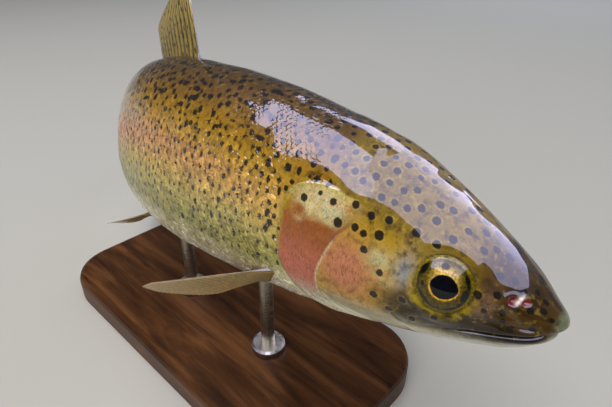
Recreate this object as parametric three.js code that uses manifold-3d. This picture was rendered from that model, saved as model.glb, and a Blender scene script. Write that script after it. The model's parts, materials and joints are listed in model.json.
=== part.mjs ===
// Rainbow trout at life size, curved as it turns, on a low display stand. Millimetres, +Z up.
// The head points along +X. The row's origin is the middle of the stand's underside.
import * as THREE from 'three';
import { mergeVertices } from 'three/addons/utils/BufferGeometryUtils.js';
import Module from 'manifold-3d';

const wasm = await Module();
wasm.setup();

// driving dimensions
const standardLength = 360;        // snout to the root of the tail fin
const seam = 0.3;                  // gap left where two pieces meet
const roundness = 2.15;            // exponent of the body's cross-section

// how the body is carried
const leanAngle = THREE.MathUtils.degToRad(15);   // the back leans to the fish's left
const bendStart = 83;              // station where the trunk starts to turn
const bendPeak = 216;              // station where it turns the most
const peakTurn = THREE.MathUtils.degToRad(0.30);  // turn for each millimetre at the peak
const tailTurn = THREE.MathUtils.degToRad(0.10);  // and at the root of the tail fin
const droopAngle = THREE.MathUtils.degToRad(-5);  // the trunk hangs a little below the head's line

// stand
const axisHeight = 100;            // underside of the base up to the head's middle line
const baseLength = 190;
const baseWidth = 92;
const baseThickness = 13;
const baseCorner = 22;
const baseEdge = 2.5;
const rodRadius = 3.2;
const rodSides = 20;
const collarRadius = 8;
const collarHeight = 4;
const rodStations = { front: 112, rear: 178 };
const standStation = 150;          // the base is centred under this station

// height of the back, the belly and half the breadth, each as station: value
const backLine = bluntAtSnout({
  0: 0, 1: 1.8, 2.6: 3.1, 5: 5, 10: 9.1, 17: 13.5, 28: 19.4, 43: 26.5, 56: 31.6, 69: 34.5, 83: 36.5,
  103: 38.9, 129: 40.8, 171: 41.4, 214: 36.9, 266: 26.6, 321: 17.8, 360: 18.9,
});
const bellyLine = bluntAtSnout({
  0: 0, 1: -3.1, 2.6: -5.9, 5: -8.9, 10: -12.6, 17: -15.9, 28: -19.9, 43: -24.6, 56: -28.1, 69: -31,
  83: -33.6, 103: -37.1, 129: -40.5, 171: -43.3, 214: -41.5, 266: -32.5, 321: -18.4, 360: -19.7,
});
const halfBreadth = bluntAtSnout({
  0: 0, 1: 3.8, 2.6: 6, 5: 8.1, 10: 10.9, 17: 13.6, 28: 17.3, 43: 20.6, 56: 22.6, 69: 23.9, 83: 24.8,
  103: 24.9, 129: 24.3, 171: 23, 214: 20.6, 266: 15.2, 321: 7.4, 360: 4.7,
});

// materials
const skinOlive = new THREE.MeshStandardMaterial({ color: '#7d7430', roughness: 0.35, metalness: 0.1 });
const skinRose = new THREE.MeshStandardMaterial({ color: '#b5705a', roughness: 0.35, metalness: 0.1 });
const skinBelly = new THREE.MeshStandardMaterial({ color: '#b9b27a', roughness: 0.4, metalness: 0.1 });
const finAmber = new THREE.MeshStandardMaterial({ color: '#8f7a3c', roughness: 0.45, metalness: 0 });
const eyeGold = new THREE.MeshStandardMaterial({ color: '#2a2410', roughness: 0.08, metalness: 0.1 });
const darkWood = new THREE.MeshStandardMaterial({ color: '#3a2a1e', roughness: 0.5, metalness: 0 });
const brushedSteel = new THREE.MeshStandardMaterial({ color: '#9a9a98', roughness: 0.3, metalness: 1 });

// curves and frames
// A smooth curve through the keys that never overshoots them.
function monotone(keys) {
  const stations = Object.keys(keys).map(Number).sort((a, b) => a - b);
  const values = stations.map((station) => keys[station]);
  const steps = stations.slice(1).map((station, i) => station - stations[i]);
  const slopes = steps.map((step, i) => (values[i + 1] - values[i]) / step);
  const tangents = values.map((value, i) => {
    if (i === 0) return slopes[0];
    if (i === slopes.length) return slopes[i - 1];
    if (slopes[i - 1] * slopes[i] <= 0) return 0;
    const before = 2 * steps[i] + steps[i - 1];
    const after = steps[i] + 2 * steps[i - 1];
    return (before + after) / (before / slopes[i - 1] + after / slopes[i]);
  });
  return (station) => {
    const x = THREE.MathUtils.clamp(station, stations[0], stations.at(-1));
    const i = Math.min(slopes.length - 1, Math.max(0, stations.findIndex((key) => key > x) - 1));
    const t = stations.at(-1) === x ? 1 : (x - stations[i]) / steps[i];
    const j = stations.at(-1) === x ? slopes.length - 1 : i;
    const t2 = t * t;
    const t3 = t2 * t;
    return (2 * t3 - 3 * t2 + 1) * values[j] + (t3 - 2 * t2 + t) * steps[j] * tangents[j]
      + (3 * t2 - 2 * t3) * values[j + 1] + (t3 - t2) * steps[j] * tangents[j + 1];
  };
}

// The same, eased by the root of the station so that the snout comes out round.
function bluntAtSnout(keys) {
  const eased = Object.fromEntries(Object.entries(keys).map(([station, value]) => [Math.sqrt(station), value]));
  const curve = monotone(eased);
  return (station) => curve(Math.sqrt(Math.max(station, 0)));
}

// The middle line of the body, walked a millimetre at a time from the snout to past the tail.
const finRoom = 60;                // the middle line carries on under the tail fin
const middleLine = walkMiddleLine(standardLength + finRoom);

function walkMiddleLine(length) {
  const line = [];
  const point = new THREE.Vector3();
  let heading = 0;
  for (let station = 0; station <= length; station += 1) {
    const eased = THREE.MathUtils.smoothstep(station, bendStart, bendPeak);
    const droop = droopAngle * eased;
    const along = new THREE.Vector3(
      -Math.cos(heading) * Math.cos(droop),
      Math.sin(heading) * Math.cos(droop),
      Math.sin(droop),
    );
    line.push({ point: point.clone(), heading, along });
    point.add(along);
    heading += turnAt(station);
  }
  return line;
}

function turnAt(station) {
  if (station < bendStart) return 0;
  if (station < bendPeak) return peakTurn * (station - bendStart) / (bendPeak - bendStart);
  const past = (station - bendPeak) / (standardLength - bendPeak);
  return THREE.MathUtils.lerp(peakTurn, tailTurn, Math.min(past, 1));
}

// Body coordinates to the row's frame: station from the snout, right of and above the middle line.
function place(station, right, up) {
  const whole = THREE.MathUtils.clamp(Math.floor(station), 0, middleLine.length - 2);
  const here = middleLine[whole];
  const next = middleLine[whole + 1];
  const part = station - whole;
  const point = here.point.clone().addScaledVector(here.along, part);
  const heading = THREE.MathUtils.lerp(here.heading, next.heading, THREE.MathUtils.clamp(part, 0, 1));
  const rightward = new THREE.Vector3(-Math.sin(heading), -Math.cos(heading), 0);
  const upward = here.along.clone().cross(rightward).normalize();
  return point.addScaledVector(rightward, right).addScaledVector(upward, up);
}

const leanTurn = new THREE.Matrix4().makeRotationX(-leanAngle);
const standCentre = place(standStation, 0, 0).applyMatrix4(leanTurn);

function inRow(point) {
  point.applyMatrix4(leanTurn);
  return point.add(new THREE.Vector3(-standCentre.x, -standCentre.y, axisHeight));
}

// A point of the cross-section: angle 0 is the right flank, a quarter turn is the back.
function sectionPoint(station, angle, grow = 0) {
  const back = backLine(station) + grow;
  const belly = bellyLine(station) - grow;
  const breadth = Math.max(halfBreadth(station) + grow, 0);
  const power = 2 / roundness;
  const across = Math.sign(Math.cos(angle)) * Math.abs(Math.cos(angle)) ** power;
  const height = Math.sign(Math.sin(angle)) * Math.abs(Math.sin(angle)) ** power;
  return { right: breadth * across, up: (back + belly) / 2 + (back - belly) / 2 * height };
}

// solids
function solidOf(points, faces) {
  const vertProperties = new Float32Array(points.flatMap((point) => [point.x, point.y, point.z]));
  const triVerts = new Uint32Array(faces.flat());
  return new wasm.Manifold(new wasm.Mesh({ numProp: 3, vertProperties, triVerts }));
}

function solidOfGeometry(geometry) {
  geometry.deleteAttribute('normal');
  geometry.deleteAttribute('uv');
  const merged = mergeVertices(geometry, 1e-4);
  const vertProperties = new Float32Array(merged.attributes.position.array);
  const triVerts = new Uint32Array(merged.index.array);
  return new wasm.Manifold(new wasm.Mesh({ numProp: 3, vertProperties, triVerts }));
}

function meshOf(solid, name, material) {
  const { vertProperties, triVerts } = solid.getMesh();
  const geometry = new THREE.BufferGeometry();
  geometry.setAttribute('position', new THREE.Float32BufferAttribute(vertProperties, 3));
  geometry.setIndex([...triVerts]);
  geometry.computeVertexNormals();
  const mesh = new THREE.Mesh(geometry, material);
  mesh.name = name;
  return mesh;
}

// The whole body from snout to tail root, grown outward or drawn inward all round.
const bodySides = 24;
const firstTrunkRing = 90;
const trunkRings = 24;
const trunkRingGap = 11.2;
const bodyStations = [
  0.6, 2, 4, 7, 11, 16, 22, 28, 35, 43, 52, 61, 70, 79,
  ...Array.from({ length: trunkRings }, (unused, i) => firstTrunkRing + i * trunkRingGap),
];

function bodySolid(grow) {
  const ends = [0 - grow, standardLength + grow];
  const rings = bodyStations.filter((station) => station < standardLength - 1);
  rings.push(standardLength);
  const points = [inRow(place(ends[0], 0, 0))];
  for (const station of rings) {
    for (let side = 0; side < bodySides; side += 1) {
      const { right, up } = sectionPoint(station, side / bodySides * 2 * Math.PI, grow);
      points.push(inRow(place(station === standardLength ? ends[1] : station, right, up)));
    }
  }
  points.push(inRow(place(ends[1], 0, (backLine(standardLength) + bellyLine(standardLength)) / 2)));
  const last = points.length - 1;
  const faces = [];
  for (let side = 0; side < bodySides; side += 1) {
    const beside = (side + 1) % bodySides;
    faces.push([0, 1 + beside, 1 + side]);
    for (let ring = 0; ring < rings.length - 1; ring += 1) {
      const near = 1 + ring * bodySides;
      const far = near + bodySides;
      faces.push([near + side, near + beside, far + beside], [near + side, far + beside, far + side]);
    }
    const edge = 1 + (rings.length - 1) * bodySides;
    faces.push([last, edge + side, edge + beside]);
  }
  return solidOf(points, faces);
}

// A side-view outline of [station, up] points, pushed across the fish from one breadth to another.
function sidePrism(outline, from, to) {
  const shape = new THREE.Shape(outline.map(([station, up]) => new THREE.Vector2(-station, up)));
  const geometry = new THREE.ExtrudeGeometry(shape, { depth: to - from, bevelEnabled: false });
  geometry.rotateX(Math.PI / 2);
  geometry.translate(0, -from, 0);
  const place3 = new THREE.Vector3();
  const position = geometry.attributes.position;
  for (let i = 0; i < position.count; i += 1) {
    inRow(place3.fromBufferAttribute(position, i));
    position.setXYZ(i, place3.x, place3.y, place3.z);
  }
  return solidOfGeometry(geometry);
}

// A smooth closed outline through a few [station, up] points, moved outward by a margin.
function smoothOutline(points, margin, steps) {
  const knots = points.map(([x, y]) => new THREE.Vector3(x, y, 0));
  const curve = new THREE.CatmullRomCurve3(knots, true, 'centripetal');
  const loop = curve.getSpacedPoints(steps).slice(0, steps);
  const clockwise = THREE.ShapeUtils.area(loop) < 0 ? -1 : 1;
  return loop.map((point, i) => {
    const before = loop[(i + steps - 1) % steps];
    const after = loop[(i + 1) % steps];
    const along = after.clone().sub(before).normalize();
    return [point.x + along.y * margin * clockwise, point.y - along.x * margin * clockwise];
  });
}

// A slab across the body that fills the space behind a station.
function behind(station) {
  const reach = 260;
  const geometry = new THREE.BoxGeometry(reach, reach, reach);
  geometry.translate(-reach / 2, 0, 0);
  const heading = middleLine[Math.round(station)].heading;
  geometry.rotateZ(-heading);
  const centre = place(station, 0, 0);
  geometry.translate(centre.x, centre.y, centre.z);
  geometry.applyMatrix4(leanTurn);
  geometry.translate(-standCentre.x, -standCentre.y, axisHeight);
  return solidOfGeometry(geometry);
}

// head pieces
const eye = { station: 28, right: 17.3, up: 2.1, radius: 8.6, depth: 6, sunk: 3.7, forward: 0.27, lift: 0.14 };

function eyeSolid(side, grow) {
  const geometry = new THREE.SphereGeometry(1, 18, 10);
  const outward = new THREE.Vector3(eye.forward, -side, eye.lift).normalize();
  const turn = new THREE.Quaternion().setFromUnitVectors(new THREE.Vector3(0, 1, 0), outward);
  const radius = eye.radius + grow;
  geometry.scale(radius, eye.depth + grow, radius);
  geometry.applyQuaternion(turn);
  const centre = place(eye.station, eye.right * side, eye.up).addScaledVector(outward, -eye.sunk);
  geometry.translate(centre.x, centre.y, centre.z);
  geometry.applyMatrix4(leanTurn);
  geometry.translate(-standCentre.x, -standCentre.y, axisHeight);
  return solidOfGeometry(geometry);
}

const gillCoverOutline = [
  [57, 8], [61, 2.5], [64, -4], [66, -11], [66, -18], [62.5, -24], [66, -27.5], [73, -25], [79.5, -18.5],
  [82.6, -10], [83, -1], [82, 7], [78.5, 13], [71, 16.5], [62, 15],
];
const gillCoverDepth = 3.2;
const jawBone = [
  [4.5, -1.6], [12, -3.1], [22, -5.4], [31, -8.2], [38, -10.6], [40.2, -13.4], [37.5, -15.2], [30, -12.9],
  [20, -8.6], [11, -5.6], [4.5, -3.6],
];
const jawBoneDepth = 1.8;
const jawBoneRise = 0.5;
const lowerJawEdge = [[-4, -1.6], [5, -4.4], [12, -6.6], [21, -9.9], [30, -14], [38, -16.4], [46, -20]];
const lowerJawHinge = [[47.5, -27], [44, -36], [-4, -36]];
const crosswise = 40;
const outlineSteps = 24;
const boneSteps = 16;

const wholeBody = bodySolid(0);
const clearBody = bodySolid(seam);

function movedDown(outline, amount) {
  return outline.map(([station, up]) => [station, up - amount]);
}

const jawPrism = sidePrism([...lowerJawEdge, ...lowerJawHinge], -crosswise, crosswise);
const hingeBack = lowerJawHinge.map(([station, up]) => [station > 0 ? station - seam : station, up]);
const jawInset = sidePrism([...movedDown(lowerJawEdge, seam), ...hingeBack], -crosswise, crosswise);

function sideRange(side, inner) {
  return side > 0 ? [inner, crosswise] : [-crosswise, -inner];
}

function shellPiece(outline, side, depth, rise, steps) {
  const prism = sidePrism(smoothOutline(outline, -seam / 2, steps), ...sideRange(side, 2));
  return bodySolid(rise).intersect(prism).subtract(bodySolid(-depth));
}

function shellPocket(outline, side, depth, steps) {
  const prism = sidePrism(smoothOutline(outline, seam / 2, steps), ...sideRange(side, 2));
  return prism.subtract(bodySolid(-depth - seam));
}

// fins
// Rays fan out from a root line on the body. Every value runs from the first ray, 0, to the last, 1.
function finSolid({ rays, root, reach, aim, rootThickness, tipThickness, sunk = 3.5, rows = 3 }) {
  const columns = rays * 2 - 1;
  const ribDepth = 0.16;
  const centreAt = (u, v) => {
    const [station, right, up] = root(u);
    const [back, out, rise] = aim(u);
    const size = Math.hypot(back, out, rise);
    const length = (v * (reach(u) + sunk) - sunk) / size;
    return inRow(place(station + back * length, right + out * length, up + rise * length));
  };
  const nudge = 0.02;
  const pointAt = (column, row, face) => {
    const u = column / (columns - 1);
    const v = row / rows;
    const across = centreAt(Math.min(u + nudge, 1), v).sub(centreAt(Math.max(u - nudge, 0), v));
    const outward = centreAt(u, Math.min(v + nudge, 1)).sub(centreAt(u, Math.max(v - nudge, 0)));
    const normal = across.cross(outward).normalize();
    const rim = column === 0 || column === columns - 1 ? 0.8 : 1;
    const rib = column % 2 === 0 ? ribDepth : -ribDepth;
    const half = (THREE.MathUtils.lerp(rootThickness, tipThickness, Math.sqrt(v)) / 2) * rim + rib / 2;
    return centreAt(u, v).addScaledVector(normal, half * face);
  };
  const points = [];
  for (const face of [1, -1]) {
    for (let row = 0; row <= rows; row += 1) {
      for (let column = 0; column < columns; column += 1) points.push(pointAt(column, row, face));
    }
  }
  const sheet = columns * (rows + 1);
  const faces = [];
  const quad = (a, b, c, d) => faces.push([a, b, c], [a, c, d]);
  for (let row = 0; row < rows; row += 1) {
    for (let column = 0; column < columns - 1; column += 1) {
      const a = row * columns + column;
      quad(a, a + 1, a + columns + 1, a + columns);
      quad(sheet + a, sheet + a + columns, sheet + a + columns + 1, sheet + a + 1);
    }
    const first = row * columns;
    const end = first + columns - 1;
    quad(first, first + columns, sheet + first + columns, sheet + first);
    quad(end, sheet + end, sheet + end + columns, end + columns);
  }
  const tip = rows * columns;
  for (let column = 0; column < columns - 1; column += 1) {
    quad(column, sheet + column, sheet + column + 1, column + 1);
    quad(tip + column, tip + column + 1, sheet + tip + column + 1, sheet + tip + column);
  }
  return solidOf(points, faces).subtract(clearBody);
}

const degrees = THREE.MathUtils.degToRad;
const blend = THREE.MathUtils.lerp;

// A fin standing on the back or under the belly.
function medianFin({ from, to, onBack, leanFirst, leanLast, reach, ...rest }) {
  const ridge = onBack ? backLine : bellyLine;
  const way = onBack ? 1 : -1;
  return finSolid({
    root: (u) => [blend(from, to, u), 0, ridge(blend(from, to, u))],
    aim: (u) => {
      const lean = degrees(blend(leanFirst, leanLast, u));
      return [Math.cos(lean), 0, Math.sin(lean) * way];
    },
    reach,
    ...rest,
  });
}

// One of a pair, rooted low on the flank: angles run round the cross-section from the flank downward.
function pairedFin({ side, from, to, angleFirst, angleLast, aimFirst, aimLast, reach, ...rest }) {
  return finSolid({
    root: (u) => {
      const station = blend(from, to, u);
      const { right, up } = sectionPoint(station, -degrees(blend(angleFirst, angleLast, u)));
      return [station, right * side, up];
    },
    aim: (u) => {
      const [back, out, rise] = aimFirst.map((value, i) => blend(value, aimLast[i], u));
      return [back, out * side, rise];
    },
    reach,
    ...rest,
  });
}

const dorsalReach = monotone({ 0: 26, 0.09: 40, 0.2: 43, 0.55: 34, 1: 25 });
const analReach = monotone({ 0: 22, 0.12: 36, 0.22: 38, 0.6: 28, 1: 18 });
const adiposeReach = monotone({ 0: 14, 0.4: 16.5, 0.8: 13, 1: 8 });
const pectoralReach = monotone({ 0: 50, 0.15: 57, 0.35: 55, 0.7: 40, 1: 24 });
const pelvicReach = monotone({ 0: 37, 0.2: 42, 0.45: 40, 0.75: 32, 1: 21 });
const tailReach = monotone({ 0: 46, 0.08: 59, 0.16: 60, 0.5: 43, 0.84: 60, 0.92: 59, 1: 46 });

function tailFin() {
  const rootHalf = 16.5;
  const spread = 31;
  const middle = (backLine(standardLength) + bellyLine(standardLength)) / 2;
  return finSolid({
    rays: 12,
    root: (u) => [standardLength - 1, 0, middle + blend(rootHalf, -rootHalf, u)],
    aim: (u) => {
      const turn = degrees(blend(spread, -spread, u));
      return [Math.cos(turn), 0, Math.sin(turn)];
    },
    reach: tailReach,
    rootThickness: 6,
    tipThickness: 0.9,
    sunk: 5,
  });
}

// stand
function baseSolid() {
  const halfLength = baseLength / 2 - baseEdge;
  const halfWidth = baseWidth / 2 - baseEdge;
  const shape = new THREE.Shape();
  const corners = [[1, 1, 0], [-1, 1, 0.5], [-1, -1, 1], [1, -1, 1.5]];
  for (const [signX, signY, turn] of corners) {
    const x = signX * (halfLength - baseCorner);
    const y = signY * (halfWidth - baseCorner);
    shape.absarc(x, y, baseCorner, turn * Math.PI, (turn + 0.5) * Math.PI, false);
  }
  const geometry = new THREE.ExtrudeGeometry(shape, {
    depth: baseThickness - baseEdge,
    curveSegments: 5,
    bevelEnabled: true,
    bevelThickness: baseEdge,
    bevelSize: baseEdge,
    bevelSegments: 2,
  });
  const flatBottom = new THREE.BoxGeometry(baseLength * 2, baseWidth * 2, baseThickness * 2);
  flatBottom.translate(0, 0, -baseThickness);
  return solidOfGeometry(geometry).subtract(solidOfGeometry(flatBottom));
}

// Where a rod meets the belly: the lowest point of the leaning cross-section.
function lowestPoint(station) {
  let lowest = null;
  for (let turn = 0; turn < 180; turn += 1) {
    const { right, up } = sectionPoint(station, -degrees(turn));
    const point = inRow(place(station, right, up));
    if (lowest === null || point.z < lowest.z) lowest = point;
  }
  return lowest;
}

function rodSolid(station) {
  const top = lowestPoint(station);
  const foot = baseThickness + seam;
  const overlap = 5;
  const profile = [
    [0, foot], [collarRadius, foot], [collarRadius, foot + collarHeight - 1],
    [collarRadius - 1, foot + collarHeight], [rodRadius, foot + collarHeight],
    [rodRadius, top.z + overlap], [0, top.z + overlap],
  ];
  const geometry = new THREE.LatheGeometry(profile.map(([x, y]) => new THREE.Vector2(x, y)), rodSides);
  geometry.rotateX(Math.PI / 2);
  geometry.translate(top.x, top.y, 0);
  return solidOfGeometry(geometry).subtract(clearBody);
}

// the trout
const trunkStart = 86;
const tailStart = 300;
const trout = new THREE.Group();

let head = wholeBody.subtract(behind(trunkStart)).subtract(jawPrism);
for (const [side, word] of [[1, 'right'], [-1, 'left']]) {
  const gillPocket = shellPocket(gillCoverOutline, side, gillCoverDepth, outlineSteps);
  const bonePocket = shellPocket(jawBone, side, jawBoneDepth, boneSteps);
  head = head.subtract(gillPocket).subtract(bonePocket).subtract(eyeSolid(side, seam));
  const cover = shellPiece(gillCoverOutline, side, gillCoverDepth, 0, outlineSteps);
  const bone = shellPiece(jawBone, side, jawBoneDepth, jawBoneRise, boneSteps)
    .subtract(eyeSolid(side, seam))
    .subtract(jawPrism);
  trout.add(meshOf(cover, `gill_cover_${word}`, skinRose));
  trout.add(meshOf(bone, `upper_jaw_${word}`, skinOlive));
  trout.add(meshOf(eyeSolid(side, 0), `eye_${word}`, eyeGold));
  trout.add(meshOf(pairedFin({
    side, rays: 9, from: 87.5, to: 94, angleFirst: 38, angleLast: 58,
    aimFirst: [0.82, 0.36, -0.42], aimLast: [0.76, 0.10, -0.56],
    reach: pectoralReach, rootThickness: 3, tipThickness: 0.8,
  }), `pectoral_fin_${word}`, finAmber));
  trout.add(meshOf(pairedFin({
    side, rays: 7, from: 188, to: 196, angleFirst: 62, angleLast: 76,
    aimFirst: [0.80, 0.34, -0.42], aimLast: [0.80, 0.05, -0.40],
    reach: pelvicReach, rootThickness: 2.6, tipThickness: 0.8,
  }), `pelvic_fin_${word}`, finAmber));
}
const bonePockets = shellPocket(jawBone, 1, jawBoneDepth, boneSteps).add(
  shellPocket(jawBone, -1, jawBoneDepth, boneSteps),
);
const lowerJaw = wholeBody.intersect(jawInset).subtract(bonePockets);
const trunk = wholeBody.intersect(behind(trunkStart + seam)).subtract(behind(tailStart));
const tailStalk = wholeBody.intersect(behind(tailStart + seam));
trout.add(meshOf(head, 'head', skinOlive));
trout.add(meshOf(lowerJaw, 'lower_jaw', skinBelly));
trout.add(meshOf(trunk, 'trunk', skinOlive));
trout.add(meshOf(tailStalk, 'tail_stalk', skinOlive));
trout.add(meshOf(medianFin({
  rays: 10, from: 168, to: 214, onBack: true, leanFirst: 62, leanLast: 40,
  reach: dorsalReach, rootThickness: 2.8, tipThickness: 0.8,
}), 'dorsal_fin', finAmber));
trout.add(meshOf(medianFin({
  rays: 4, from: 278, to: 289, onBack: true, leanFirst: 40, leanLast: 24,
  reach: adiposeReach, rootThickness: 3, tipThickness: 1.2, sunk: 5,
}), 'adipose_fin', finAmber));
trout.add(meshOf(medianFin({
  rays: 8, from: 254, to: 288, onBack: false, leanFirst: 58, leanLast: 40,
  reach: analReach, rootThickness: 2.8, tipThickness: 0.8,
}), 'anal_fin', finAmber));
trout.add(meshOf(tailFin(), 'tail_fin', finAmber));

trout.add(meshOf(baseSolid(), 'stand_base', darkWood));
for (const [word, station] of Object.entries(rodStations)) {
  trout.add(meshOf(rodSolid(station), `stand_rod_${word}`, brushedSteel));
}

export default trout;
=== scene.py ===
import json
import math
import random

import bpy
import numpy as np
from mathutils import Matrix, Vector

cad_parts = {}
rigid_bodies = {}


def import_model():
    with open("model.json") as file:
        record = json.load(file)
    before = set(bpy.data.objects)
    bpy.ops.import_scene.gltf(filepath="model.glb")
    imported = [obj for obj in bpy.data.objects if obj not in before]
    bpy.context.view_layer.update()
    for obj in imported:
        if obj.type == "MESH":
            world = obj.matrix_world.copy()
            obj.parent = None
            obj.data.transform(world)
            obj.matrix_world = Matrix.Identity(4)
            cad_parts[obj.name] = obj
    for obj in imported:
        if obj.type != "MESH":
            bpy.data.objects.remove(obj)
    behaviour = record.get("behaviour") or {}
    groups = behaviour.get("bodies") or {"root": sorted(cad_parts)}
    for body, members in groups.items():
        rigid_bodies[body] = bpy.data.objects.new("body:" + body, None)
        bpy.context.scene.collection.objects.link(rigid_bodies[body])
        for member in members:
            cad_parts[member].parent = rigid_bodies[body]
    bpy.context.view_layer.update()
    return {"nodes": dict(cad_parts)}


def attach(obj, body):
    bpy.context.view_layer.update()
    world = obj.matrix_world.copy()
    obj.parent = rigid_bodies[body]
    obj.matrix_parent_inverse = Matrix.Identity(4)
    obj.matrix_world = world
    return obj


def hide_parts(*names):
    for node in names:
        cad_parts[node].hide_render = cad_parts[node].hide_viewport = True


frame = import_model()
mm = 0.001  # shapes are worked out in millimetres and turned to metres as each mesh is made


def linearColour(hexText):
    channels = [int(hexText[i:i + 2], 16) / 255 for i in (1, 3, 5)]
    return np.array([c / 12.92 if c <= 0.04045 else ((c + 0.055) / 1.055) ** 2.4 for c in channels])


def smooth(value, low, high):
    t = np.clip((value - low) / (high - low), 0, 1)
    return t * t * (3 - 2 * t)


def bell(value, centre, width):
    return np.exp(-((value - centre) / width) ** 2)


def blendTo(colours, hexText, weight):
    return colours + (linearColour(hexText) - colours) * np.clip(weight, 0, 1)[..., None]


# A smooth curve through the keys that never overshoots. Power 0.5 rounds off its start.
def curveThrough(keys, power=1.0):
    stops = np.array(sorted(keys), float) ** power
    values = np.array([keys[key] for key in sorted(keys)], float)
    steps = np.diff(stops)
    slopes = np.diff(values) / steps
    tangents = np.zeros(len(values))
    tangents[0], tangents[-1] = slopes[0], slopes[-1]
    for i in range(1, len(values) - 1):
        if slopes[i - 1] * slopes[i] > 0:
            before = 2 * steps[i] + steps[i - 1]
            after = steps[i] + 2 * steps[i - 1]
            tangents[i] = (before + after) / (before / slopes[i - 1] + after / slopes[i])

    def at(place):
        x = np.clip(np.clip(place, 0, None) ** power, stops[0], stops[-1]) if power != 1 else np.clip(place, stops[0], stops[-1])
        i = np.clip(np.searchsorted(stops, x, side="right") - 1, 0, len(steps) - 1)
        t = (x - stops[i]) / steps[i]
        return ((2 * t ** 3 - 3 * t ** 2 + 1) * values[i] + (t ** 3 - 2 * t ** 2 + t) * steps[i] * tangents[i]
                + (3 * t ** 2 - 2 * t ** 3) * values[i + 1] + (t ** 3 - t ** 2) * steps[i] * tangents[i + 1])

    return at


# how the body is shaped and carried, as the solids have it
trout = {
    "standardLength": 360.0,
    "roundness": 2.15,
    "leanDegrees": 15.0,
    "bendStart": 83.0,
    "bendPeak": 216.0,
    "peakTurnDegrees": 0.30,
    "tailTurnDegrees": 0.10,
    "droopDegrees": -5.0,
    "axisHeight": 100.0,
    "standStation": 150.0,
    "tailRoom": 80,
    "coatDepth": 0.35,   # how far the skin lies inside the solids under the scales
    "headDepth": 0.15,   # and on the bare head
}
backHeight = curveThrough({
    0: 0, 1: 1.8, 2.6: 3.1, 5: 5.0, 10: 9.1, 17: 13.5, 28: 19.4, 43: 26.5, 56: 31.6, 69: 34.5, 83: 36.5,
    103: 38.9, 129: 40.8, 171: 41.4, 214: 36.9, 266: 26.6, 321: 17.8, 360: 18.9, 376: 21.4,
}, 0.5)
bellyHeight = curveThrough({
    0: 0, 1: -3.1, 2.6: -5.9, 5: -8.9, 10: -12.6, 17: -15.9, 28: -19.9, 43: -24.6, 56: -28.1, 69: -31,
    83: -33.6, 103: -37.1, 129: -40.5, 171: -43.3, 214: -41.5, 266: -32.5, 321: -18.4, 360: -19.7, 376: -22.6,
}, 0.5)
halfBreadth = curveThrough({
    0: 0, 1: 3.8, 2.6: 6, 5: 8.1, 10: 10.9, 17: 13.6, 28: 17.3, 43: 20.6, 56: 22.6, 69: 23.9, 83: 24.8,
    103: 24.9, 129: 24.3, 171: 23, 214: 20.6, 266: 15.2, 321: 7.4, 352: 5.2, 362: 3.6, 370: 1.8, 376: 1.1,
}, 0.5)


# the middle line, walked a millimetre at a time
def walkMiddleLine():
    points, headings, alongs = [], [], []
    point, heading = np.zeros(3), 0.0
    peak, tail = math.radians(trout["peakTurnDegrees"]), math.radians(trout["tailTurnDegrees"])
    start, top, end = trout["bendStart"], trout["bendPeak"], trout["standardLength"]
    for station in range(int(end) + trout["tailRoom"]):
        droop = math.radians(trout["droopDegrees"]) * float(smooth(station, start, top))
        along = np.array([-math.cos(heading) * math.cos(droop), math.sin(heading) * math.cos(droop), math.sin(droop)])
        points.append(point.copy())
        headings.append(heading)
        alongs.append(along)
        point = point + along
        if station >= top:
            heading += peak + (tail - peak) * min((station - top) / (end - top), 1)
        elif station >= start:
            heading += peak * (station - start) / (top - start)
    return np.array(points), np.array(headings), np.array(alongs)


linePoints, lineHeadings, lineAlongs = walkMiddleLine()
leanAngle = math.radians(-trout["leanDegrees"])
leanTurn = np.array([
    [1, 0, 0],
    [0, math.cos(leanAngle), -math.sin(leanAngle)],
    [0, math.sin(leanAngle), math.cos(leanAngle)],
])


# body coordinates to the fish's own frame: station from the snout, right of and above the middle line
def placeOnFish(station, right, up):
    station, right, up = np.broadcast_arrays(*(np.asarray(value, float) for value in (station, right, up)))
    whole = np.clip(np.floor(station), 0, len(linePoints) - 2).astype(int)
    part = station - whole
    share = np.clip(part, 0, 1)[..., None]
    along = lineAlongs[whole] * (1 - share) + lineAlongs[whole + 1] * share
    heading = lineHeadings[whole] * (1 - share[..., 0]) + lineHeadings[whole + 1] * share[..., 0]
    rightward = np.stack([-np.sin(heading), -np.cos(heading), np.zeros_like(heading)], -1)
    upward = np.cross(along, rightward)
    upward /= np.linalg.norm(upward, axis=-1, keepdims=True)
    return linePoints[whole] + lineAlongs[whole] * part[..., None] + rightward * right[..., None] + upward * up[..., None]


standCentre = placeOnFish(trout["standStation"], 0, 0) @ leanTurn.T
rowShift = np.array([-standCentre[0], -standCentre[1], trout["axisHeight"]])


def toRow(points):
    return points @ leanTurn.T + rowShift


def place(station, right, up):
    return toRow(placeOnFish(station, right, up))


def sectionPoint(station, angle, grow=0.0):
    back, belly, breadth = backHeight(station) + grow, bellyHeight(station) - grow, halfBreadth(station) + grow
    power = 2 / trout["roundness"]
    across = np.sign(np.cos(angle)) * np.abs(np.cos(angle)) ** power
    height = np.sign(np.sin(angle)) * np.abs(np.sin(angle)) ** power
    return np.maximum(breadth, 0.02) * across, (back + belly) / 2 + (back - belly) / 2 * height


# The body's surface as a fine grid: a row for each station, and columns evenly round from the back's
# midline, down the right flank, under the belly and up the left flank.
surfaceColumns = 720
tipStations = [0.03, 0.08, 0.16, 0.28, 0.45, 0.65, 0.9, 1.2, 1.55, 1.9, 2.3, 2.7, 3.1]
headEnd = 95.0
tailEnd = 376.0
rowStations = np.concatenate([tipStations, np.arange(3.5, headEnd, 0.5), np.arange(headEnd, tailEnd + 0.01, 1.0)])


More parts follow.
